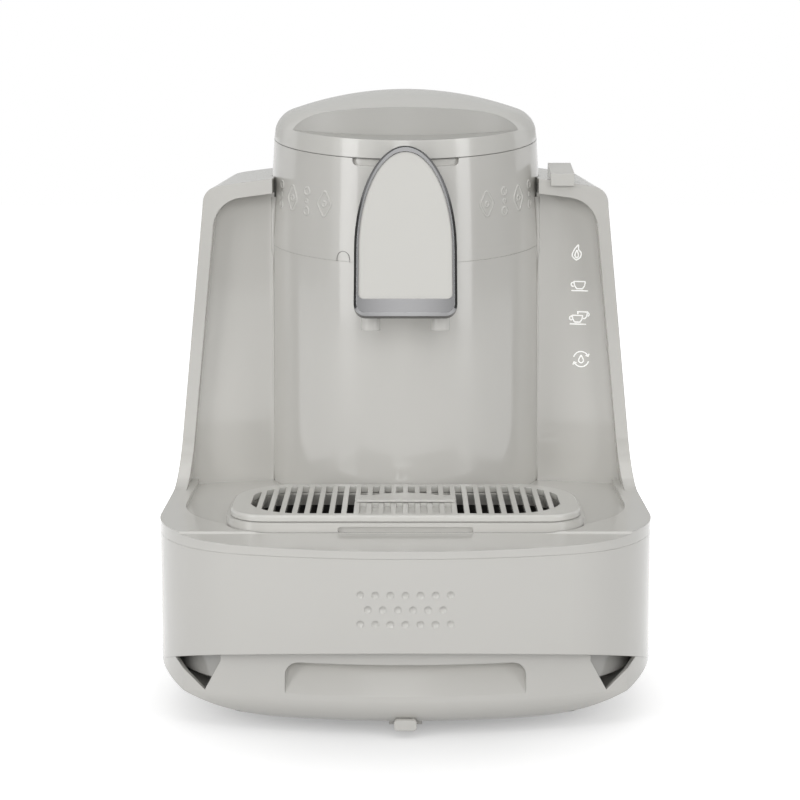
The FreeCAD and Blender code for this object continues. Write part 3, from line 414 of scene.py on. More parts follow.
def tray_pearl(name, colour, chosen):
    """The tray's pearl, with painted shade that makes the bowl under the grid near black."""
    finish = Finish(name)
    cloud = finish.noise(14.0, 3.0)
    bowl_mottle = finish.noise(60.0, 4.0)
    rim = finish.parts(finish.place)[2].above(TRAY_RIM_Z * MM)
    tint = finish.clouded(cloud, colour, PEARL_SPREAD)
    # Painted shade: below the rim the bowl is near black, for the shade under the grid; the noise only
    # mottles it
    bowl = finish.blend(bowl_mottle, (0.012, 0.011, 0.010, 1.0), (0.030, 0.027, 0.024, 1.0))
    return finish.close(
        Base_Color=finish.blend(rim, bowl, tint),
        Roughness=chosen.gloss + 0.3 * (1.0 - rim) + 0.05 * cloud,
        Coat_Weight=0.35 * rim,
        Coat_Roughness=0.06,
        Normal=finish.rounding(chosen.edge),
    )


def matte_plastic(name, colour, grain):
    """Matt moulded plastic with a spark-eroded grain."""
    finish = Finish(name)
    speck = finish.noise(grain, 2.0, 0.6)
    cloud = finish.noise(20.0, 2.0)
    return finish.close(
        Base_Color=finish.clouded(cloud, colour, 0.07),
        Roughness=0.48 + 0.1 * speck,
        Normal=finish.bump(speck, 0.18, 0.0002),
    )


def soft_rubber(name, colour, roughness):
    """Rubber or silicone: dull, with a powdery unevenness."""
    finish = Finish(name)
    dust = finish.noise(420.0, 3.0, 0.7)
    cloud = finish.noise(35.0, 2.0)
    return finish.close(
        Base_Color=finish.clouded(cloud, colour, 0.12),
        Roughness=roughness + 0.12 * dust,
        Specular_IOR_Level=0.35,
        Normal=finish.bump(dust, 0.12, 0.0002),
    )


def drawn_metal(name, colour, roughness, stretch):
    """Metal with fine drawing lines along one way."""
    finish = Finish(name)
    lines = finish.noise(260.0, 3.0, 0.6, stretch)
    return finish.close(
        Base_Color=finish.blend(lines, rgba(colour, 0.94), rgba(colour, 1.05)),
        Metallic=1.0,
        Roughness=roughness + 0.1 * lines,
        Normal=finish.bump(lines, 0.05, 0.0001),
    )


def mirror_chrome(name, colour, edge, half_width):
    """Bright plating with painted reflections: darker towards the frame's sides, and near black on edges that
    face sideways.
    """
    finish = Finish(name)
    haze = finish.noise(30.0, 3.0)
    across, *_ = finish.parts(finish.place)
    # Painted reflection: the plate darkens towards both sides, as a curved face would mirror the darker
    # surround
    share = across.size() / half_width
    sides = share * share * 0.75
    # Painted reflection: faces turned away from the front are near black, as curved plated edges mirror the
    # dark surround
    facing = finish.parts(finish.add("ShaderNodeTexCoord", output="Normal"))[1]
    turned = {"Value": 0.0 - facing, "From Min": 0.35, "From Max": 0.85}
    front = finish.add("ShaderNodeMapRange", turned)
    plate = finish.clouded(haze, colour, 0.03)
    plate_painted_reflection = finish.blend(sides, plate, rgba(colour, 0.42))
    return finish.close(
        Base_Color=finish.blend(front, rgba(colour, 0.10), plate_painted_reflection),
        Metallic=1.0,
        Roughness=0.13 + 0.05 * haze,
        Normal=finish.rounding(edge),
    )


def smoky_tank(name, colour):
    """Clear smoky plastic of the water tank."""
    finish = Finish(name)
    haze = finish.noise(25.0, 3.0)
    return finish.close(
        Base_Color=finish.clouded(haze, colour, 0.04),
        Roughness=0.06 + 0.06 * haze,
        Transmission_Weight=0.85,
        IOR=1.49,
    )


def solder_mask(name, colour):
    """Green board with paler copper runs under the mask."""
    finish = Finish(name)
    inputs = {
        "Vector": finish.place, "Scale": 160.0, "Color1": rgba(colour), "Color2": rgba(colour, 1.35),
        "Mortar": rgba(colour, 0.55), "Mortar Size": 0.03,
    }
    runs = finish.add("ShaderNodeTexBrick", inputs, offset=0.5)
    return finish.close(Base_Color=runs, Roughness=0.32 + 0.1 * finish.noise(80.0))


def printed_ink_painted_glow(name, colour):
    """White pad print with a painted glow: it gives off a little light of its own colour, though no lamp
    stands behind it.
    """
    finish = Finish(name)
    speck = finish.noise(700.0, 2.0)
    ink = finish.clouded(speck, colour, 0.03)
    # Painted glow: the ink weakly emits its own colour
    return finish.close(
        Base_Color=ink, Roughness=0.3 + 0.1 * speck, Emission_Color=ink, Emission_Strength=0.35,
    )


def seam_shade(name, colour):
    """Shadowed plastic down in a parting line."""
    finish = Finish(name)
    cloud = finish.noise(40.0, 2.0)
    return finish.close(Base_Color=finish.clouded(cloud, colour, 0.1), Roughness=0.6)


class COFFEE_OT_finishes(bpy.types.Operator):
    """Gives every CAD piece its own finish"""

    bl_idname = "coffee.finishes"
    bl_label = "Finishes"

    def execute(self, context):
        chosen = context.scene.coffee_maker.finish
        pearl = chosen.pearl
        light = chosen.light_pearl
        finishes = {
            "pearl_plastic": glossy_pearl("pearl_gloss", pearl, chosen),
            "pearl_light": glossy_pearl("light_pearl_gloss", light, chosen),
            "dark_plastic": matte_plastic("dark_matte", (0.035, 0.035, 0.037), 1100.0),
            "inner_plastic": matte_plastic("inner_matte", (0.33, 0.33, 0.32), 800.0),
            "tank_plastic": smoky_tank("tank_smoke", (0.62, 0.64, 0.65)),
            "chrome": mirror_chrome("bezel_chrome", (0.42, 0.42, 0.425), 0.0003, 0.0228),
            "foot_rubber": soft_rubber("foot_black", (0.018, 0.018, 0.018), 0.55),
            "silicone": soft_rubber("seal_silicone", (0.70, 0.68, 0.63), 0.42),
            "steel": drawn_metal("pot_steel", (0.62, 0.62, 0.62), 0.22, (0.05, 0.05, 1.0)),
            "brass": drawn_metal("valve_brass", (0.72, 0.54, 0.24), 0.25, (0.1, 0.1, 1.0)),
            "board_green": solder_mask("board_mask", (0.03, 0.17, 0.08)),
            "aluminium": drawn_metal("cast_aluminium", (0.70, 0.70, 0.71), 0.38, (1.0, 1.0, 1.0)),
        }
        own = {
            "drip_tray": tray_pearl("tray_gloss", pearl, chosen),
            "lid_shell": lid_pearl("lid_gloss", light, chosen),
        }
        for name, piece in frame["nodes"].items():
            slot = piece.material_slots[0]
            slot.material = own.get(name) or finishes[slot.material.name.split(".")[0]]
        return {"FINISHED"}


# Helpers for the added pieces

def placed(name, data):
    """A new object in the scene."""
    thing = bpy.data.objects.new(name, data)
    bpy.context.scene.collection.objects.link(thing)
    return thing


def finished_piece(mesh, material, body="machine"):
    """Puts a mesh in the scene as a piece of its name that rides on a body."""
    mesh.materials.clear()
    mesh.materials.append(material)
    piece = placed(mesh.name, mesh)
    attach(piece, body)
    return piece


def grown_mesh(group, sizes, name):
    """Runs a Geometry Nodes group with its sizes on an empty mesh and returns the plain result."""
    carrier = placed(name + "_carrier", bpy.data.meshes.new(name + "_carrier"))
    modifier = carrier.modifiers.new("Build", "NODES")
    modifier.node_group = group
    for item in group.interface.items_tree:
        if item.item_type == "SOCKET" and item.in_out == "INPUT" and item.name in sizes:
            modifier[item.identifier] = sizes[item.name]
    carrier.update_tag()
    depsgraph = bpy.context.evaluated_depsgraph_get()
    mesh = bpy.data.meshes.new_from_object(carrier.evaluated_get(depsgraph))
    mesh.name = name
    carrier.modifiers.remove(modifier)
    bpy.data.objects.remove(carrier)
    return mesh


COUNTS = ("Motifs", "Sides")


def new_group(name, *inputs):
    """A Geometry Nodes group with named inputs: returns it, its Tree and its inputs by name."""
    group = bpy.data.node_groups.new(name, "GeometryNodeTree")
    group.interface.new_socket("Geometry", in_out="OUTPUT", socket_type="NodeSocketGeometry")
    for label in inputs:
        kind = "NodeSocketInt" if label in COUNTS else "NodeSocketFloat"
        group.interface.new_socket(label, in_out="INPUT", socket_type=kind)
    tree = Tree(group)
    given = {value.socket.name: value for value in tree.add("NodeGroupInput").siblings()}
    return group, tree, given


def close_group(tree, geometry, material):
    """Ends a group in Realize Instances, Set Shade Smooth and Set Material."""
    smooth = tree.add("GeometryNodeSetShadeSmooth", {"Geometry": tree.realized(geometry)})
    painted = tree.add("GeometryNodeSetMaterial", {"Geometry": smooth, "Material": material})
    tree.add("NodeGroupOutput", {"Geometry": painted})


def head_radius(z):
    """Radius of the head between its two seams."""
    return MID_RADIUS + (LID_RADIUS - MID_RADIUS) * (z - MID_SEAM_Z) / (LID_SEAM_Z - MID_SEAM_Z)


def column_radius(z):
    """Radius of the column at a height, and of the head above the middle seam."""
    if z > MID_SEAM_Z:
        return head_radius(z)
    return COLUMN_RADIUS + (MID_RADIUS - COLUMN_RADIUS) * (z - DECK_Z) / (MID_SEAM_Z - DECK_Z)


def built_mesh(build, name):
    """Turns a bmesh into a mesh with its normals outward, and frees it."""
    bmesh.ops.recalc_face_normals(build, faces=build.faces)
    mesh = bpy.data.meshes.new(name)
    build.to_mesh(mesh)
    build.free()
    return mesh


def add_tube(build, rings):
    """Adds a closed tube over rings of points in metres, with a face over each end."""
    loops = [[build.verts.new(spot) for spot in ring] for ring in rings]
    for near, far in zip(loops, loops[1:]):
        for k in range(len(near)):
            following = (k + 1) % len(near)
            build.faces.new((near[k], near[following], far[following], far[k]))
    build.faces.new(list(reversed(loops[0])))
    build.faces.new(loops[-1])


def sheet_mesh(name, rows, thickness):
    """A grid of points in millimetres as one smooth sheet, closed behind by its thickness."""
    build = bmesh.new()
    grid = [[build.verts.new(Vector(spot) * MM) for spot in row] for row in rows]
    for near, far in zip(grid, grid[1:]):
        for k in range(len(near) - 1):
            build.faces.new((near[k], near[k + 1], far[k + 1], far[k]))
    build.normal_update()
    bmesh.ops.solidify(build, geom=build.faces[:], thickness=thickness * MM)
    mesh = built_mesh(build, name)
    mesh.shade_smooth()
    mesh.set_sharp_from_angle(angle=math.radians(40))
    return mesh


def prism_mesh(name, outline, reach):
    """A closed prism over an outline of points in millimetres, extruded along reach."""
    build = bmesh.new()
    near = [Vector(spot) * MM for spot in outline]
    add_tube(build, [near, [spot + Vector(reach) * MM for spot in near]])
    return built_mesh(build, name)


def tube_mesh(name, path, radii, sides):
    """A round bead along a path, with a radius for each point and closed ends."""
    rings = []
    for i, spot in enumerate(path):
        ahead = path[min(i + 1, len(path) - 1)] - path[max(i - 1, 0)]
        turned = ahead.to_track_quat("Z", "Y")
        ring = []
        for k in range(sides):
            turn = 2 * math.pi * k / sides
            offset = Vector((math.cos(turn), math.sin(turn), 0.0)) * radii[i]
            ring.append(spot + turned @ offset)
        rings.append(ring)
    build = bmesh.new()
    add_tube(build, rings)
    mesh = built_mesh(build, name)
    mesh.shade_smooth()
    return mesh


def recut_node(node, name, cutter, operation):
    """A copy of a CAD node, merged and cut by another mesh, that stands for the node."""
    source = frame["nodes"][node]
    mesh = source.data.copy()
    if "custom_normal" in mesh.attributes:
        mesh.attributes.remove(mesh.attributes["custom_normal"])
    build = bmesh.new()
    build.from_mesh(mesh)
    bmesh.ops.remove_doubles(build, verts=build.verts, dist=1e-7)
    build.to_mesh(mesh)
    build.free()
    piece = placed(name, mesh)
    tool = placed(name + "_tool", cutter)
    cut = piece.modifiers.new("Cut", "BOOLEAN")
    cut.operation = operation
    cut.solver = "EXACT"
    cut.object = tool
    made = bpy.data.meshes.new_from_object(piece.evaluated_get(bpy.context.evaluated_depsgraph_get()))
    piece.modifiers.remove(cut)
    bpy.data.objects.remove(tool)
    if len(made.polygons) < 50:
        raise RuntimeError(f"{name} came out empty")
    made.shade_smooth()
    made.set_sharp_from_angle(angle=math.radians(24))
    piece.data = made
    made.name = name
    made.materials.clear()
    made.materials.append(source.material_slots[0].material)
    body = source["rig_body"]
    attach(piece, body)
    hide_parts(node)


# Recut housings: the roof's lip ends at the head, and the beak keeps inside the shield's arch

def shield_outline(inset):
    """The shield's arched outline in its own leaning plane, drawn in by inset and long below."""
    half = SHIELD_HALF - inset
    arch = SHIELD_ARCH - inset
    spring = SHIELD_LENGTH - SHIELD_ARCH
    flat = []
    for i in range(41):
        turn = math.pi * i / 40
        flat.append((half * math.cos(turn), spring + arch * math.sin(turn)))
    flat += [(-half, -30.0), (half, -30.0)]
    lean, rise = math.sin(SHIELD_LEAN), math.cos(SHIELD_LEAN)
    return [(across, SHIELD_BOTTOM_Y + up * lean, SHIELD_BOTTOM_Z + up * rise) for across, up in flat]


class COFFEE_OT_recut_housings(bpy.types.Operator):
    """Ends the roof's lip at the head and draws the beak in behind the shield"""

    bl_idname = "coffee.recut_housings"
    bl_label = "Recut housings"

    def execute(self, context):
        front, foot, height = -30.0, 150.0, 110.0
        corners = ((-1, front), (1, front), (1, HEAD_Y), (-1, HEAD_Y))
        room = [(side * LIP_END_X, y, foot) for side, y in corners]
        lip_tool = prism_mesh("lip_tool", room, (0.0, 0.0, height))
        recut_node("upper_housing", "upper_housing_shell", lip_tool, "DIFFERENCE")
        inset, depth = 2.0, 70.0
        arch_tool = prism_mesh("arch_tool", shield_outline(inset), (0.0, depth, 0.0))
        recut_node("beak_housing", "beak_shroud", arch_tool, "INTERSECT")
        return {"FINISHED"}


# Linings: shallow backs to the notch, the tray's slot and the corner windows, and the column's beads

class COFFEE_OT_linings(bpy.types.Operator):
    """Closes the notch, the tray's slot, the corner windows and the column's side gaps from behind"""

    bl_idname = "coffee.linings"
    bl_label = "Linings"

    def execute(self, context):
        lining = context.scene.coffee_maker.lining
        chosen = context.scene.coffee_maker.finish
        pearl = bpy.data.materials["pearl_gloss"]
        finished_piece(self.notch_back(), pearl)
        finished_piece(self.slot_back(), pearl, "tray")
        # Painted shade: the corner pockets take the housings' pearl darkened by the pocket shade, for the
        # little light that reaches into them
        tone = rgba(chosen.pearl, lining.pocket_shade)
        shaded = glossy_pearl("pocket_pearl", tone, chosen)
        for side, label in ((-1, "left"), (1, "right")):
            finished_piece(self.pocket(side, f"corner_pocket_{label}", lining.pocket_depth / MM), shaded)
            finished_piece(self.column_bead(side, f"column_bead_{label}", lining.bead_overlap / MM), pearl)
        return {"FINISHED"}

    def notch_back(self):
        """A wall behind the finger notch under the lid."""
        radius = LID_RADIUS - 1.3
        half_turn = math.radians(23.0)
        rows = []
        for z_drop in (0.25, 1.5, 2.8, 4.2):
            row = []
            for i in range(25):
                angle = half_turn * (i / 12 - 1)
                y = HEAD_Y - radius * math.cos(angle)
                z = LID_SEAM_Z + (y - HEAD_Y) * math.tan(LID_SEAM_TILT) - z_drop
                row.append((radius * math.sin(angle), y, z))
            rows.append(row)
        return sheet_mesh("notch_back", rows, -1.0)

    def slot_back(self):
        """A wall a little behind the slot in the tray's front rim, which leans back at its top."""
        half_width = 29.6
        low, middle, high = 84.9, 86.5, 88.1
        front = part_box("drip_tray")[0].y / MM + 2.2
        rows = []
        for z in (low, middle, high):
            y = front + 0.25 * (z > middle)
            rows.append([(half_width * (i / 6 - 1), y, z) for i in range(13)])
        return sheet_mesh("tray_slot_back", rows, -0.6)

    def pocket(self, side, name, depth):
        """A curved sheet behind the corner's skin, drawn in below as the pan is."""
        low, height = 12.5, 32.5
        skin_gap = 3.3
        start, turn = math.radians(-66.0), math.radians(82.0)
        rows = []
        for k in range(13):
            rise = k / 12
            z = low + height * rise
            drawn = PAN_ARC_Z - min(z, PAN_TURN_Z)
            outer = CORNER_RADIUS - CORNER_X + math.sqrt(PAN_ARC_RADIUS**2 - drawn**2)
            row = []
            for i in range(25):
                share = i / 24
                hollow = depth * min(1.0, 0.3 + 3.0 * rise) * min(1.0, 3.0 * (1.0 - share))
                radius = outer - skin_gap - hollow
                angle = start + turn * share
                x = side * (CORNER_X + radius * math.cos(angle))
                row.append((x, CORNER_Y + radius * math.sin(angle), z))
            rows.append(row if side > 0 else row[::-1])
        return sheet_mesh(name, rows, -0.8)

    def column_bead(self, side, name, overlap):
        """A bead that fills the gap between the column and the wing."""
        low, height = 84.0, 138.0
        face_y = FACE_OUTER_Y + (FACE_OUTER_X - FACE_INNER_X) * FACE_SLOPE
        path = []
        radii = []
        for k in range(17):
            z = low + height * k / 16
            radius = column_radius(z)
            middle = (radius + HOUSING_BORE) / 2
            x = math.sqrt(middle**2 - (HEAD_Y - face_y) ** 2)
            path.append(Vector((side * x, face_y + 0.2, z)) * MM)
            radii.append(((HOUSING_BORE - radius) / 2 + overlap) * MM)
        return tube_mesh(name, path, radii, 10)


# Dimples: round bowls in the skirt's twenty holes

def dimple_group(material):
    """Rows of shallow bowls, laid out flat and then set on the skirt's bowed front."""
    group, tree, given = new_group("dimple_bowls", "Radius", "Depth", "Pitch", "Row step", "Top")
    inputs = {
        "Vertices": 20, "Side Segments": 5, "Radius Top": 0.0, "Radius Bottom": given["Radius"],
        "Depth": 0.001,
    }
    cone = tree.add("GeometryNodeMeshCone", inputs, "Mesh", fill_type="NONE")
    across, along, _ = tree.parts(tree.add("GeometryNodeInputPosition"))
    reach = (across * across + along * along) / (given["Radius"] * given["Radius"])
    bowl = tree.moved(cone, tree.vector(across, (1.0 - reach) * given["Depth"], along))
    rows = []
    for row, count in enumerate((7, 6, 7)):
        first = given["Pitch"] * (-(count - 1) / 2)
        start = tree.vector(first, 0.0, given["Top"] - given["Row step"] * float(row))
        inputs = {"Points": tree.row(count, start, tree.vector(given["Pitch"])), "Instance": bowl}
        rows.append(tree.add("GeometryNodeInstanceOnPoints", inputs))
    flat = tree.realized(tree.joined(*rows))
    x, y, z = tree.parts(tree.add("GeometryNodeInputPosition"))
    big = FRONT_ARC_RADIUS * MM
    bow = FRONT_ARC_Y * MM - (big * big - x * x).root()
    clearance = 0.02 * MM
    close_group(tree, tree.moved(flat, tree.vector(x, bow + y + clearance, z)), material)
    return group


class COFFEE_OT_dimples(bpy.types.Operator):
    """Rounds the bottoms of the dimples in the skirt's front"""

    bl_idname = "coffee.dimples"
    bl_label = "Dimples"

    def execute(self, context):
        dimple = context.scene.coffee_maker.dimple
        pearl = bpy.data.materials["pearl_gloss"]
        sizes = {
            "Radius": dimple.radius, "Depth": dimple.depth, "Pitch": dimple.pitch,
            "Row step": dimple.row_step, "Top": dimple.top,
        }
        mesh = grown_mesh(dimple_group(pearl), sizes, "dimple_bowls")
        if mesh.polygons[0].normal.y > 0:
            mesh.flip_normals()
        finished_piece(mesh, pearl)
        return {"FINISHED"}


# Ornament band

def band_group(material):
    """Lozenges and stacked rings in turn, laid out flat and then bent round the tapered head."""
    group, tree, given = new_group(
        "ornament_band", "Height", "First angle", "Pitch", "Motifs", "Motif height", "Stroke", "Relief",
    )
    bead = tree.ring(8, given["Stroke"])

    def drawn(curve, up):
        """A curve in the XY plane, stood up in XZ at a height and given its bead."""
        inputs = {
            "Geometry": curve, "Rotation": (math.pi / 2, 0.0, 0.0), "Translation": tree.vector(z=up),
        }
        turned = tree.add("GeometryNodeTransform", inputs)
        return tree.add("GeometryNodeCurveToMesh", {"Curve": turned, "Profile Curve": bead})

    def lozenge(share):
        half = given["Motif height"] * 0.5 * share
        wide = given["Motif height"] * 0.62 * share
        inputs = {"Width": wide, "Bottom Height": half, "Top Height": half}
        diamond = tree.add("GeometryNodeCurvePrimitiveQuadrilateral", inputs, mode="KITE")
        inputs = {"Curve": diamond, "Radius": given["Motif height"] * 0.06, "Limit Radius": True}
        corners = tree.add("GeometryNodeFilletCurve", inputs)
        return tree.add("GeometryNodeResampleCurve", {"Curve": corners, "Count": 40})

    def disc(share):
        return tree.ring(28, given["Motif height"] * share)

    def as_choice(*parts):
        return tree.add("GeometryNodeGeometryToInstance", {"Geometry": tree.joined(*parts)})

    step = given["Motif height"] * 0.34
    lozenges = as_choice(drawn(lozenge(1.0), 0.0), drawn(disc(0.09), 0.0))
    rings = as_choice(drawn(disc(0.13), step), drawn(disc(0.13), 0.0 - step), drawn(disc(0.06), 0.0))
    choices = tree.joined(lozenges, rings)

    index = tree.add("GeometryNodeInputIndex")
    first = given["First angle"] * (MID_RADIUS * MM)
    sides = []
    for side in (-1.0, 1.0):
        spots = tree.row(given["Motifs"], tree.vector(first * side), tree.vector(given["Pitch"] * side))
        inputs = {"Points": spots, "Instance": choices, "Pick Instance": True, "Instance Index": index}
        sides.append(tree.add("GeometryNodeInstanceOnPoints", inputs))
    flat = tree.realized(tree.joined(*sides))

    # Each point's x becomes an angle, its z a height on the taper and its y a distance from the surface
    along, out, up = tree.parts(tree.add("GeometryNodeInputPosition"))
    angle = along / (MID_RADIUS * MM)
    taper = (LID_RADIUS - MID_RADIUS) / (LID_SEAM_Z - MID_SEAM_Z)
    fall = math.tan((MID_SEAM_TILT + LID_SEAM_TILT) / 2)
    on_axis = given["Height"] + up
    z = on_axis - angle.cos() * (MID_RADIUS * MM * fall)
    surface = (z - MID_SEAM_Z * MM) * taper + MID_RADIUS * MM
    radius = surface - given["Stroke"] + given["Relief"] - out
    bent = tree.vector(radius * angle.sin(), HEAD_Y * MM - radius * angle.cos(), z)
    close_group(tree, tree.moved(flat, bent), material)
    return group


class COFFEE_OT_ornament_band(bpy.types.Operator):
    """Makes the raised band of lozenges and rings round the head"""

    bl_idname = "coffee.ornament_band"
    bl_label = "Ornament band"

    def execute(self, context):
        settings = context.scene.coffee_maker
        band = settings.band
        chosen = settings.finish
        material = glossy_pearl("band_gloss", chosen.pearl, chosen)
        sizes = {
            "Height": band.height, "First angle": band.first_angle, "Pitch": band.pitch, "Motifs": band.count,
            "Motif height": band.motif, "Stroke": band.stroke, "Relief": band.relief,
        }
        mesh = grown_mesh(band_group(material), sizes, "ornament_band")
        if len(mesh.polygons) == 0:
            raise RuntimeError("the ornament band came out empty")
        finished_piece(mesh, material)
        return {"FINISHED"}


# Seams: thin beads of painted shade that lie in the parting lines

def seam_group(material):
    """A thin bead on a tilted circle round the head."""
    group, tree, given = new_group("parting_line", "Radius", "Height", "Tilt", "Width", "Sides")
    # The seam's plane cuts an upright column: each point keeps its plan place and takes the plane's height
    across, along, _ = tree.parts(tree.add("GeometryNodeInputPosition"))
    slope = given["Tilt"].tan()
    tilted = tree.vector(across, along + HEAD_Y * MM, given["Height"] + along * slope)
    laid = tree.moved(tree.ring(given["Sides"], given["Radius"]), tilted)
    inputs = {"Curve": laid, "Profile Curve": tree.ring(6, given["Width"] * 0.5)}
    close_group(tree, tree.add("GeometryNodeCurveToMesh", inputs), material)
    return group


class COFFEE_OT_seams(bpy.types.Operator):
    """Makes the dark parting lines of the head and the arch mark above the middle one"""

    bl_idname = "coffee.seams"
    bl_label = "Seams"

    def execute(self, context):
        seam = context.scene.coffee_maker.seam
        shade = seam_shade("seam_dark", seam.shade)
        group = seam_group(shade)
        lines = [
            ("mid_seam_line", MID_RADIUS, MID_SEAM_Z, MID_SEAM_TILT),
            ("lid_seam_line", LID_RADIUS, LID_SEAM_Z, LID_SEAM_TILT),
        ]
        for name, radius, height, tilt in lines:
            sizes = {
                "Radius": radius * MM - 0.4 * seam.width, "Height": height * MM, "Tilt": tilt,
                "Width": seam.width, "Sides": 180,
            }
            finished_piece(grown_mesh(group, sizes, name), shade)
        self.add_arch_mark(shade, seam)
        return {"FINISHED"}

    def add_arch_mark(self, shade, seam):
        """A small arch moulded above the middle seam, left of the shield."""
        middle = math.asin(-28.6 / MID_RADIUS)
        half_width, rise, line = seam.arch_half_width / MM, seam.arch_rise / MM, seam.arch_line / MM
        path = []
        for i in range(25):
            turn = math.pi * i / 24
            across = half_width * math.cos(turn)
            up = rise * math.sin(turn) ** 0.7
            angle = middle + across / MID_RADIUS
            foot = MID_SEAM_Z - MID_RADIUS * math.cos(angle) * math.tan(MID_SEAM_TILT)
            radius = head_radius(foot + up) - 0.3 * line
            spot = (radius * math.sin(angle), HEAD_Y - radius * math.cos(angle), foot + up)
            path.append(Vector(spot) * MM)
        finished_piece(tube_mesh("arch_mark", path, [line / 2 * MM] * len(path), 8), shade)


# Touch icons: line drawings in millimetres, u to the right and v up

def arc(cx, cy, radius, start, end, steps=16):
    """Points on an arc between two angles in degrees."""
    turns = [math.radians(start + (end - start) * i / steps) for i in range(steps + 1)]
    return [(cx + radius * math.cos(t), cy + radius * math.sin(t)) for t in turns]


def curve(points, steps=10):
    """A smooth line through a few points."""
    padded = [points[0], *points, points[-1]]
    line = []
    for near_points in zip(padded, padded[1:], padded[2:], padded[3:]):
        a, b, c, d = (Vector(point) for point in near_points)
        for i in range(steps):
            t = i / steps
            rest = (2 * a - 5 * b + 4 * c - d) * t**2 + (3 * b - a - 3 * c + d) * t**3
            line.append(tuple(0.5 * (2 * b + (c - a) * t + rest)))
    line.append(points[-1])
    return line


def cup_lines(x, y, size):
    """A small cup seen from the side, with its handle."""
    sides = [(1.0, 0.62), (0.86, -0.1), (0.5, -0.62)]
    bowl = [(x - size * u, y + size * v) for u, v in sides]
    bowl += [(x + size * u, y + size * v) for u, v in reversed(sides)]
    rim = [bowl[0], bowl[-1]]
    handle = arc(x - size * 1.12, y + size * 0.1, size * 0.34, 70, 290, 12)
    return [bowl, rim, handle]


def flame_icon():
    """A flame: one tall tongue round a smaller one."""
    outer = [(-0.2, -3.6), (-2.1, -1.6), (-1.5, 0.9), (0.7, 3.7), (0.9, 1.6), (2.1, 0.0), (1.7, -2.2)]
    inner = [(0.0, -2.6), (-0.9, -1.2), (0.1, 1.1), (0.7, -0.6), (0.7, -1.9)]
    return [curve([*tongue, tongue[0]]) for tongue in (outer, inner)]


def one_cup_icon():
    """A cup over its saucer."""
    return [*cup_lines(0.3, 0.5, 2.8), [(-3.6, -2.2), (4.4, -2.2)]]


def two_cups_icon():
    """A second cup stands behind the first."""
    back = [(-0.6, 2.1), (-0.8, 3.3), (4.0, 3.3), (3.6, 1.1), (2.7, 0.1), (1.9, 0.1)]
    handle = arc(4.0, 2.1, 0.8, -80, 80, 10)
    return [*cup_lines(-0.9, -0.1, 2.6), back, handle, [(-4.6, -2.7), (3.4, -2.7)]]


def cleaning_icon():
    """Two turning arrows round a drop."""
    lines = [arc(0, 0, 3.7, 25, 165, 22), arc(0, 0, 3.7, 205, 345, 22)]
    lines += [[(2.2, 1.9), (3.4, 1.5), (3.9, 2.8)], [(-2.2, -1.9), (-3.4, -1.5), (-3.9, -2.8)]]
    drop = curve([(0.0, 2.0), (-1.1, -0.1), (-1.0, -1.2), (0.0, -1.8), (1.0, -1.2), (1.1, -0.1), (0.0, 2.0)])
    return [*lines, drop]


class COFFEE_OT_touch_icons(bpy.types.Operator):
    """Prints the four touch icons on the right wing's face"""

    bl_idname = "coffee.touch_icons"
    bl_label = "Touch icons"

    def execute(self, context):
        settings = context.scene.coffee_maker.icon
        ink = printed_ink_painted_glow("icon_ink_painted_glow", settings.ink)
        icons = [
            ("icon_flame", flame_icon(), 82.1, 195.5),
            ("icon_one_cup", one_cup_icon(), 83.3, 179.4),
            ("icon_two_cups", two_cups_icon(), 83.6, 163.7),
            ("icon_cleaning", cleaning_icon(), 84.7, 144.0),
        ]
        for name, lines, x, z in icons:
            mesh = self.printed(name, lines, x, z, settings.stroke / MM, settings.thickness / MM)
            finished_piece(mesh, ink)
        return {"FINISHED"}

    def printed(self, name, lines, x, z, stroke, thickness):
        """Each line becomes a flat ribbon that stands on the face by its thickness."""
        lean = 1 / math.hypot(1, FACE_SLOPE)
        build = bmesh.new()
        for number, line in enumerate(lines):
            # Lines that cross lie at slightly different heights, so that no two faces share a plane
            lift = thickness + 0.004 * number
            rings = []
            for near, far in zip(*self.ribbon_sides(line, stroke)):
                ring = []
                for (u, v), depth in ((near, lift), (far, lift), (far, -0.05), (near, -0.05)):
                    px = x + u * lean
                    surface = FACE_OUTER_Y + (FACE_OUTER_X - px) * FACE_SLOPE
                    ring.append(Vector((px, surface - depth, z + v)) * MM)
                rings.append(ring)
            add_tube(build, rings)
        return built_mesh(build, name)

    def ribbon_sides(self, line, stroke):
        """The two edges of a ribbon along a line, mitred at its corners."""
        spots = [Vector(p) for p in line]
        left, right = [], []
        for i, spot in enumerate(spots):
            before = (spot - spots[i - 1]).normalized() if i else None
            after = (spots[i + 1] - spot).normalized() if i < len(spots) - 1 else None
            way = ((before or after) + (after or before)).normalized()
            across = Vector((-way.y, way.x))
            open_up = 1.0
            if before is not None and after is not None:
                open_up = 1 / max(0.5, across.dot(Vector((-after.y, after.x))))
            offset = across * stroke / 2 * open_up
            left.append(tuple(spot + offset))
            right.append(tuple(spot - offset))
        return left, right


# Stage

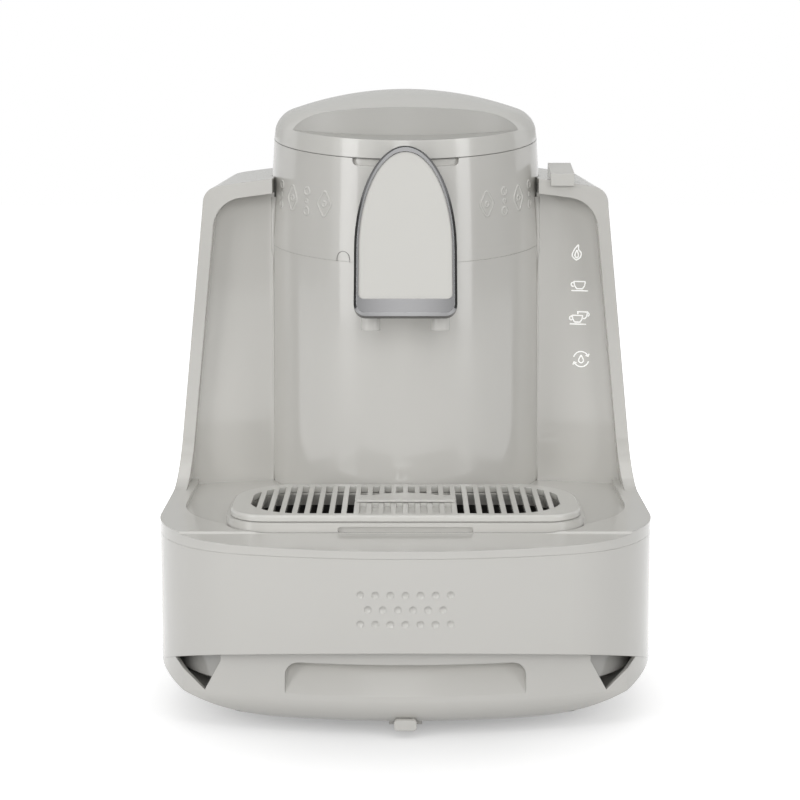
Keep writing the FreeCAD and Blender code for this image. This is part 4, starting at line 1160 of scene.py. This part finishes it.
class COFFEE_OT_stage(bpy.types.Operator):
    """Makes the pale floor, the soft studio lights, the white surround and the camera"""

    bl_idname = "coffee.stage"
    bl_label = "Stage"

    def execute(self, context):
        settings = context.scene.coffee_maker.stage
        self.add_floor(settings)
        self.add_lights()
        self.add_dark_cards()
        self.set_world(context.scene, settings.ambient)
        self.add_camera(context.scene, settings)
        context.scene.view_settings.view_transform = "Standard"
        return {"FINISHED"}

    def seen_directly(self, tree):
        """1 for rays from the camera, a reflection or a clear piece, else 0."""
        camera, glossy, clear = (
            tree.add("ShaderNodeLightPath", output=f"Is {kind} Ray")
            for kind in ("Camera", "Glossy", "Transmission")
        )
        return camera.maximum(glossy).maximum(clear)

    def add_flat(self, name, corners, material):
        """A four-cornered face of the stage."""
        mesh = bpy.data.meshes.new(name)
        mesh.from_pydata(corners, [], [(0, 1, 2, 3)])
        mesh.materials.append(material)
        flat = placed(name, mesh)
        return flat

    def add_floor(self, settings):
        half = 3.0
        finish = Finish("floor_pale")
        # The shade gathers under the front, and fades out to the sides and behind
        across, along, _ = finish.parts(finish.place)
        ahead = along + 0.13
        far = (across * across + ahead * ahead).root()
        reach = {"Value": far, "From Min": 0.02, "From Max": 0.24}
        fade = finish.add("ShaderNodeMapRange", reach, interpolation_type="SMOOTHSTEP")
        open_glow = finish.blend(fade, (0.58, 0.58, 0.58, 1), (1, 1, 1, 1))
        under_glow = finish.blend(fade, (0.28, 0.28, 0.28, 1), (0.7, 0.7, 0.7, 1))
        sky = finish.add("ShaderNodeAmbientOcclusion", {"Distance": 0.055}, "AO", samples=8)
        bright = finish.blend(sky, under_glow, open_glow)
        glow = finish.blend(self.seen_directly(finish), (0, 0, 0, 1), bright)
        finish.close(
            Base_Color=finish.clouded(finish.noise(3.0), settings.floor, 0.01),
            Roughness=0.9,
            Specular_IOR_Level=0.0,
            Emission_Color=glow,
            Emission_Strength=1.0,
        )
        corners = [(-half, -half, 0), (half, -half, 0), (half, half, 0), (-half, half, 0)]
        self.add_flat("floor", corners, finish.material)

    def add_lights(self):
        aim = Vector((0.0, 0.0, 0.14))
        # Name, place, width and height in metres, power in watts
        lights = [
            ("top_box", (0.0, -0.25, 1.35), (1.5, 1.1), 4.0),
            ("left_strip", (-0.95, -0.85, 0.45), (0.35, 1.3), 5.0),
            ("right_strip", (0.95, -0.80, 0.45), (0.28, 1.3), 3.4),
            ("front_fill", (0.0, -1.9, 0.75), (1.6, 0.9), 11.5),
        ]
        for name, place, size, power in lights:
            light = bpy.data.lights.new(name, "AREA")
            light.shape = "RECTANGLE"
            light.size, light.size_y = size
            light.energy = power
            lamp = placed(name, light)
            lamp.location = place
            lamp.rotation_mode = "QUATERNION"
            lamp.rotation_quaternion = (aim - Vector(place)).to_track_quat("-Z", "Y")

    def card_tone(self, name, colour):
        """A flat glow of one colour for the reflection cards."""
        tone = Finish(name)
        glow = tone.add("ShaderNodeEmission", {"Color": colour, "Strength": 1.0})
        tone.add("ShaderNodeOutputMaterial", {"Surface": glow})
        return tone.material

    def add_dark_cards(self):
        """Grey cards that only reflections see, for the soft darker bands down the glossy column."""
        deep = self.card_tone("card_grey", (0.22, 0.22, 0.215, 1.0))
        pale = self.card_tone("card_pale", (0.62, 0.62, 0.61, 1.0))
        # Name, middle in X and Y, half width, foot and top in metres
        cards = [
            ("left_card", -0.42, -1.25, 0.20, 0.02, 1.1),
            ("right_card", 0.34, -1.25, 0.26, 0.02, 1.1),
            ("far_left_card", -1.5, -0.1, 0.6, 0.02, 1.1),
            ("far_right_card", 1.4, -0.2, 0.7, 0.02, 1.1),
            ("back_card", 0.0, 2.2, 2.4, 0.24, 2.6),
        ]
        for name, x, y, half, low, high in cards:
            away = Vector((x, y)).normalized()
            side = Vector((-away.y, away.x)) * half
            corners = [(x - side.x, y - side.y, low), (x + side.x, y + side.y, low)]
            corners += [(x + side.x, y + side.y, high), (x - side.x, y - side.y, high)]
            card = self.add_flat(name, corners, pale if name == "back_card" else deep)
            card.visible_camera = False
            card.visible_diffuse = False
            card.visible_shadow = False
            card.visible_transmission = False

    def set_world(self, scene, ambient):
        world = bpy.data.worlds.new("studio")
        world.use_nodes = True
        tree = Tree(world.node_tree)
        tree.nodes.clear()
        dim = (ambient, ambient, ambient, 1)
        colour = tree.blend(self.seen_directly(tree), dim, (1, 1, 1, 1))
        back = tree.add("ShaderNodeBackground", {"Color": colour, "Strength": 1.0})
        tree.add("ShaderNodeOutputWorld", {"Surface": back})
        scene.world = world

    def add_camera(self, scene, settings):
        data = bpy.data.cameras.new("camera")
        data.sensor_width = 36.0
        data.lens = settings.lens
        data.shift_x, data.shift_y = settings.shift
        data.clip_start = 0.01
        camera = placed("camera", data)
        camera.location = settings.camera_place
        camera.rotation_euler = (math.pi / 2 - settings.camera_dip, 0.0, 0.0)
        scene.camera = camera


# Add-on

class COFFEE_PT_maker(bpy.types.Panel):
    """Lists the coffee maker's operators"""

    bl_idname = "COFFEE_PT_maker"
    bl_label = "Coffee Maker"
    bl_space_type = "VIEW_3D"
    bl_region_type = "UI"
    bl_category = "Coffee Maker"

    def draw(self, context):
        for operator in OPERATORS:
            self.layout.operator(operator.bl_idname)


OPERATORS = (
    COFFEE_OT_stage,
    COFFEE_OT_finishes,
    COFFEE_OT_recut_housings,
    COFFEE_OT_linings,
    COFFEE_OT_dimples,
    COFFEE_OT_ornament_band,
    COFFEE_OT_seams,
    COFFEE_OT_touch_icons,
)
CLASSES = (
    FinishSettings, LiningSettings, DimpleSettings, BandSettings, SeamSettings, IconSettings, StageSettings,
    CoffeeMakerSettings, *OPERATORS, COFFEE_PT_maker,
)


def register():
    for entry in CLASSES:
        bpy.utils.register_class(entry)
    bpy.types.Scene.coffee_maker = bpy.props.PointerProperty(type=CoffeeMakerSettings)


def unregister():
    del bpy.types.Scene.coffee_maker
    for entry in reversed(CLASSES):
        bpy.utils.unregister_class(entry)


def main():
    register()
    bpy.ops.coffee.stage()
    bpy.ops.coffee.finishes()
    bpy.ops.coffee.recut_housings()
    bpy.ops.coffee.linings()
    bpy.ops.coffee.dimples()
    bpy.ops.coffee.ornament_band()
    bpy.ops.coffee.seams()
    bpy.ops.coffee.touch_icons()


if __name__ == "__main__":
    main()
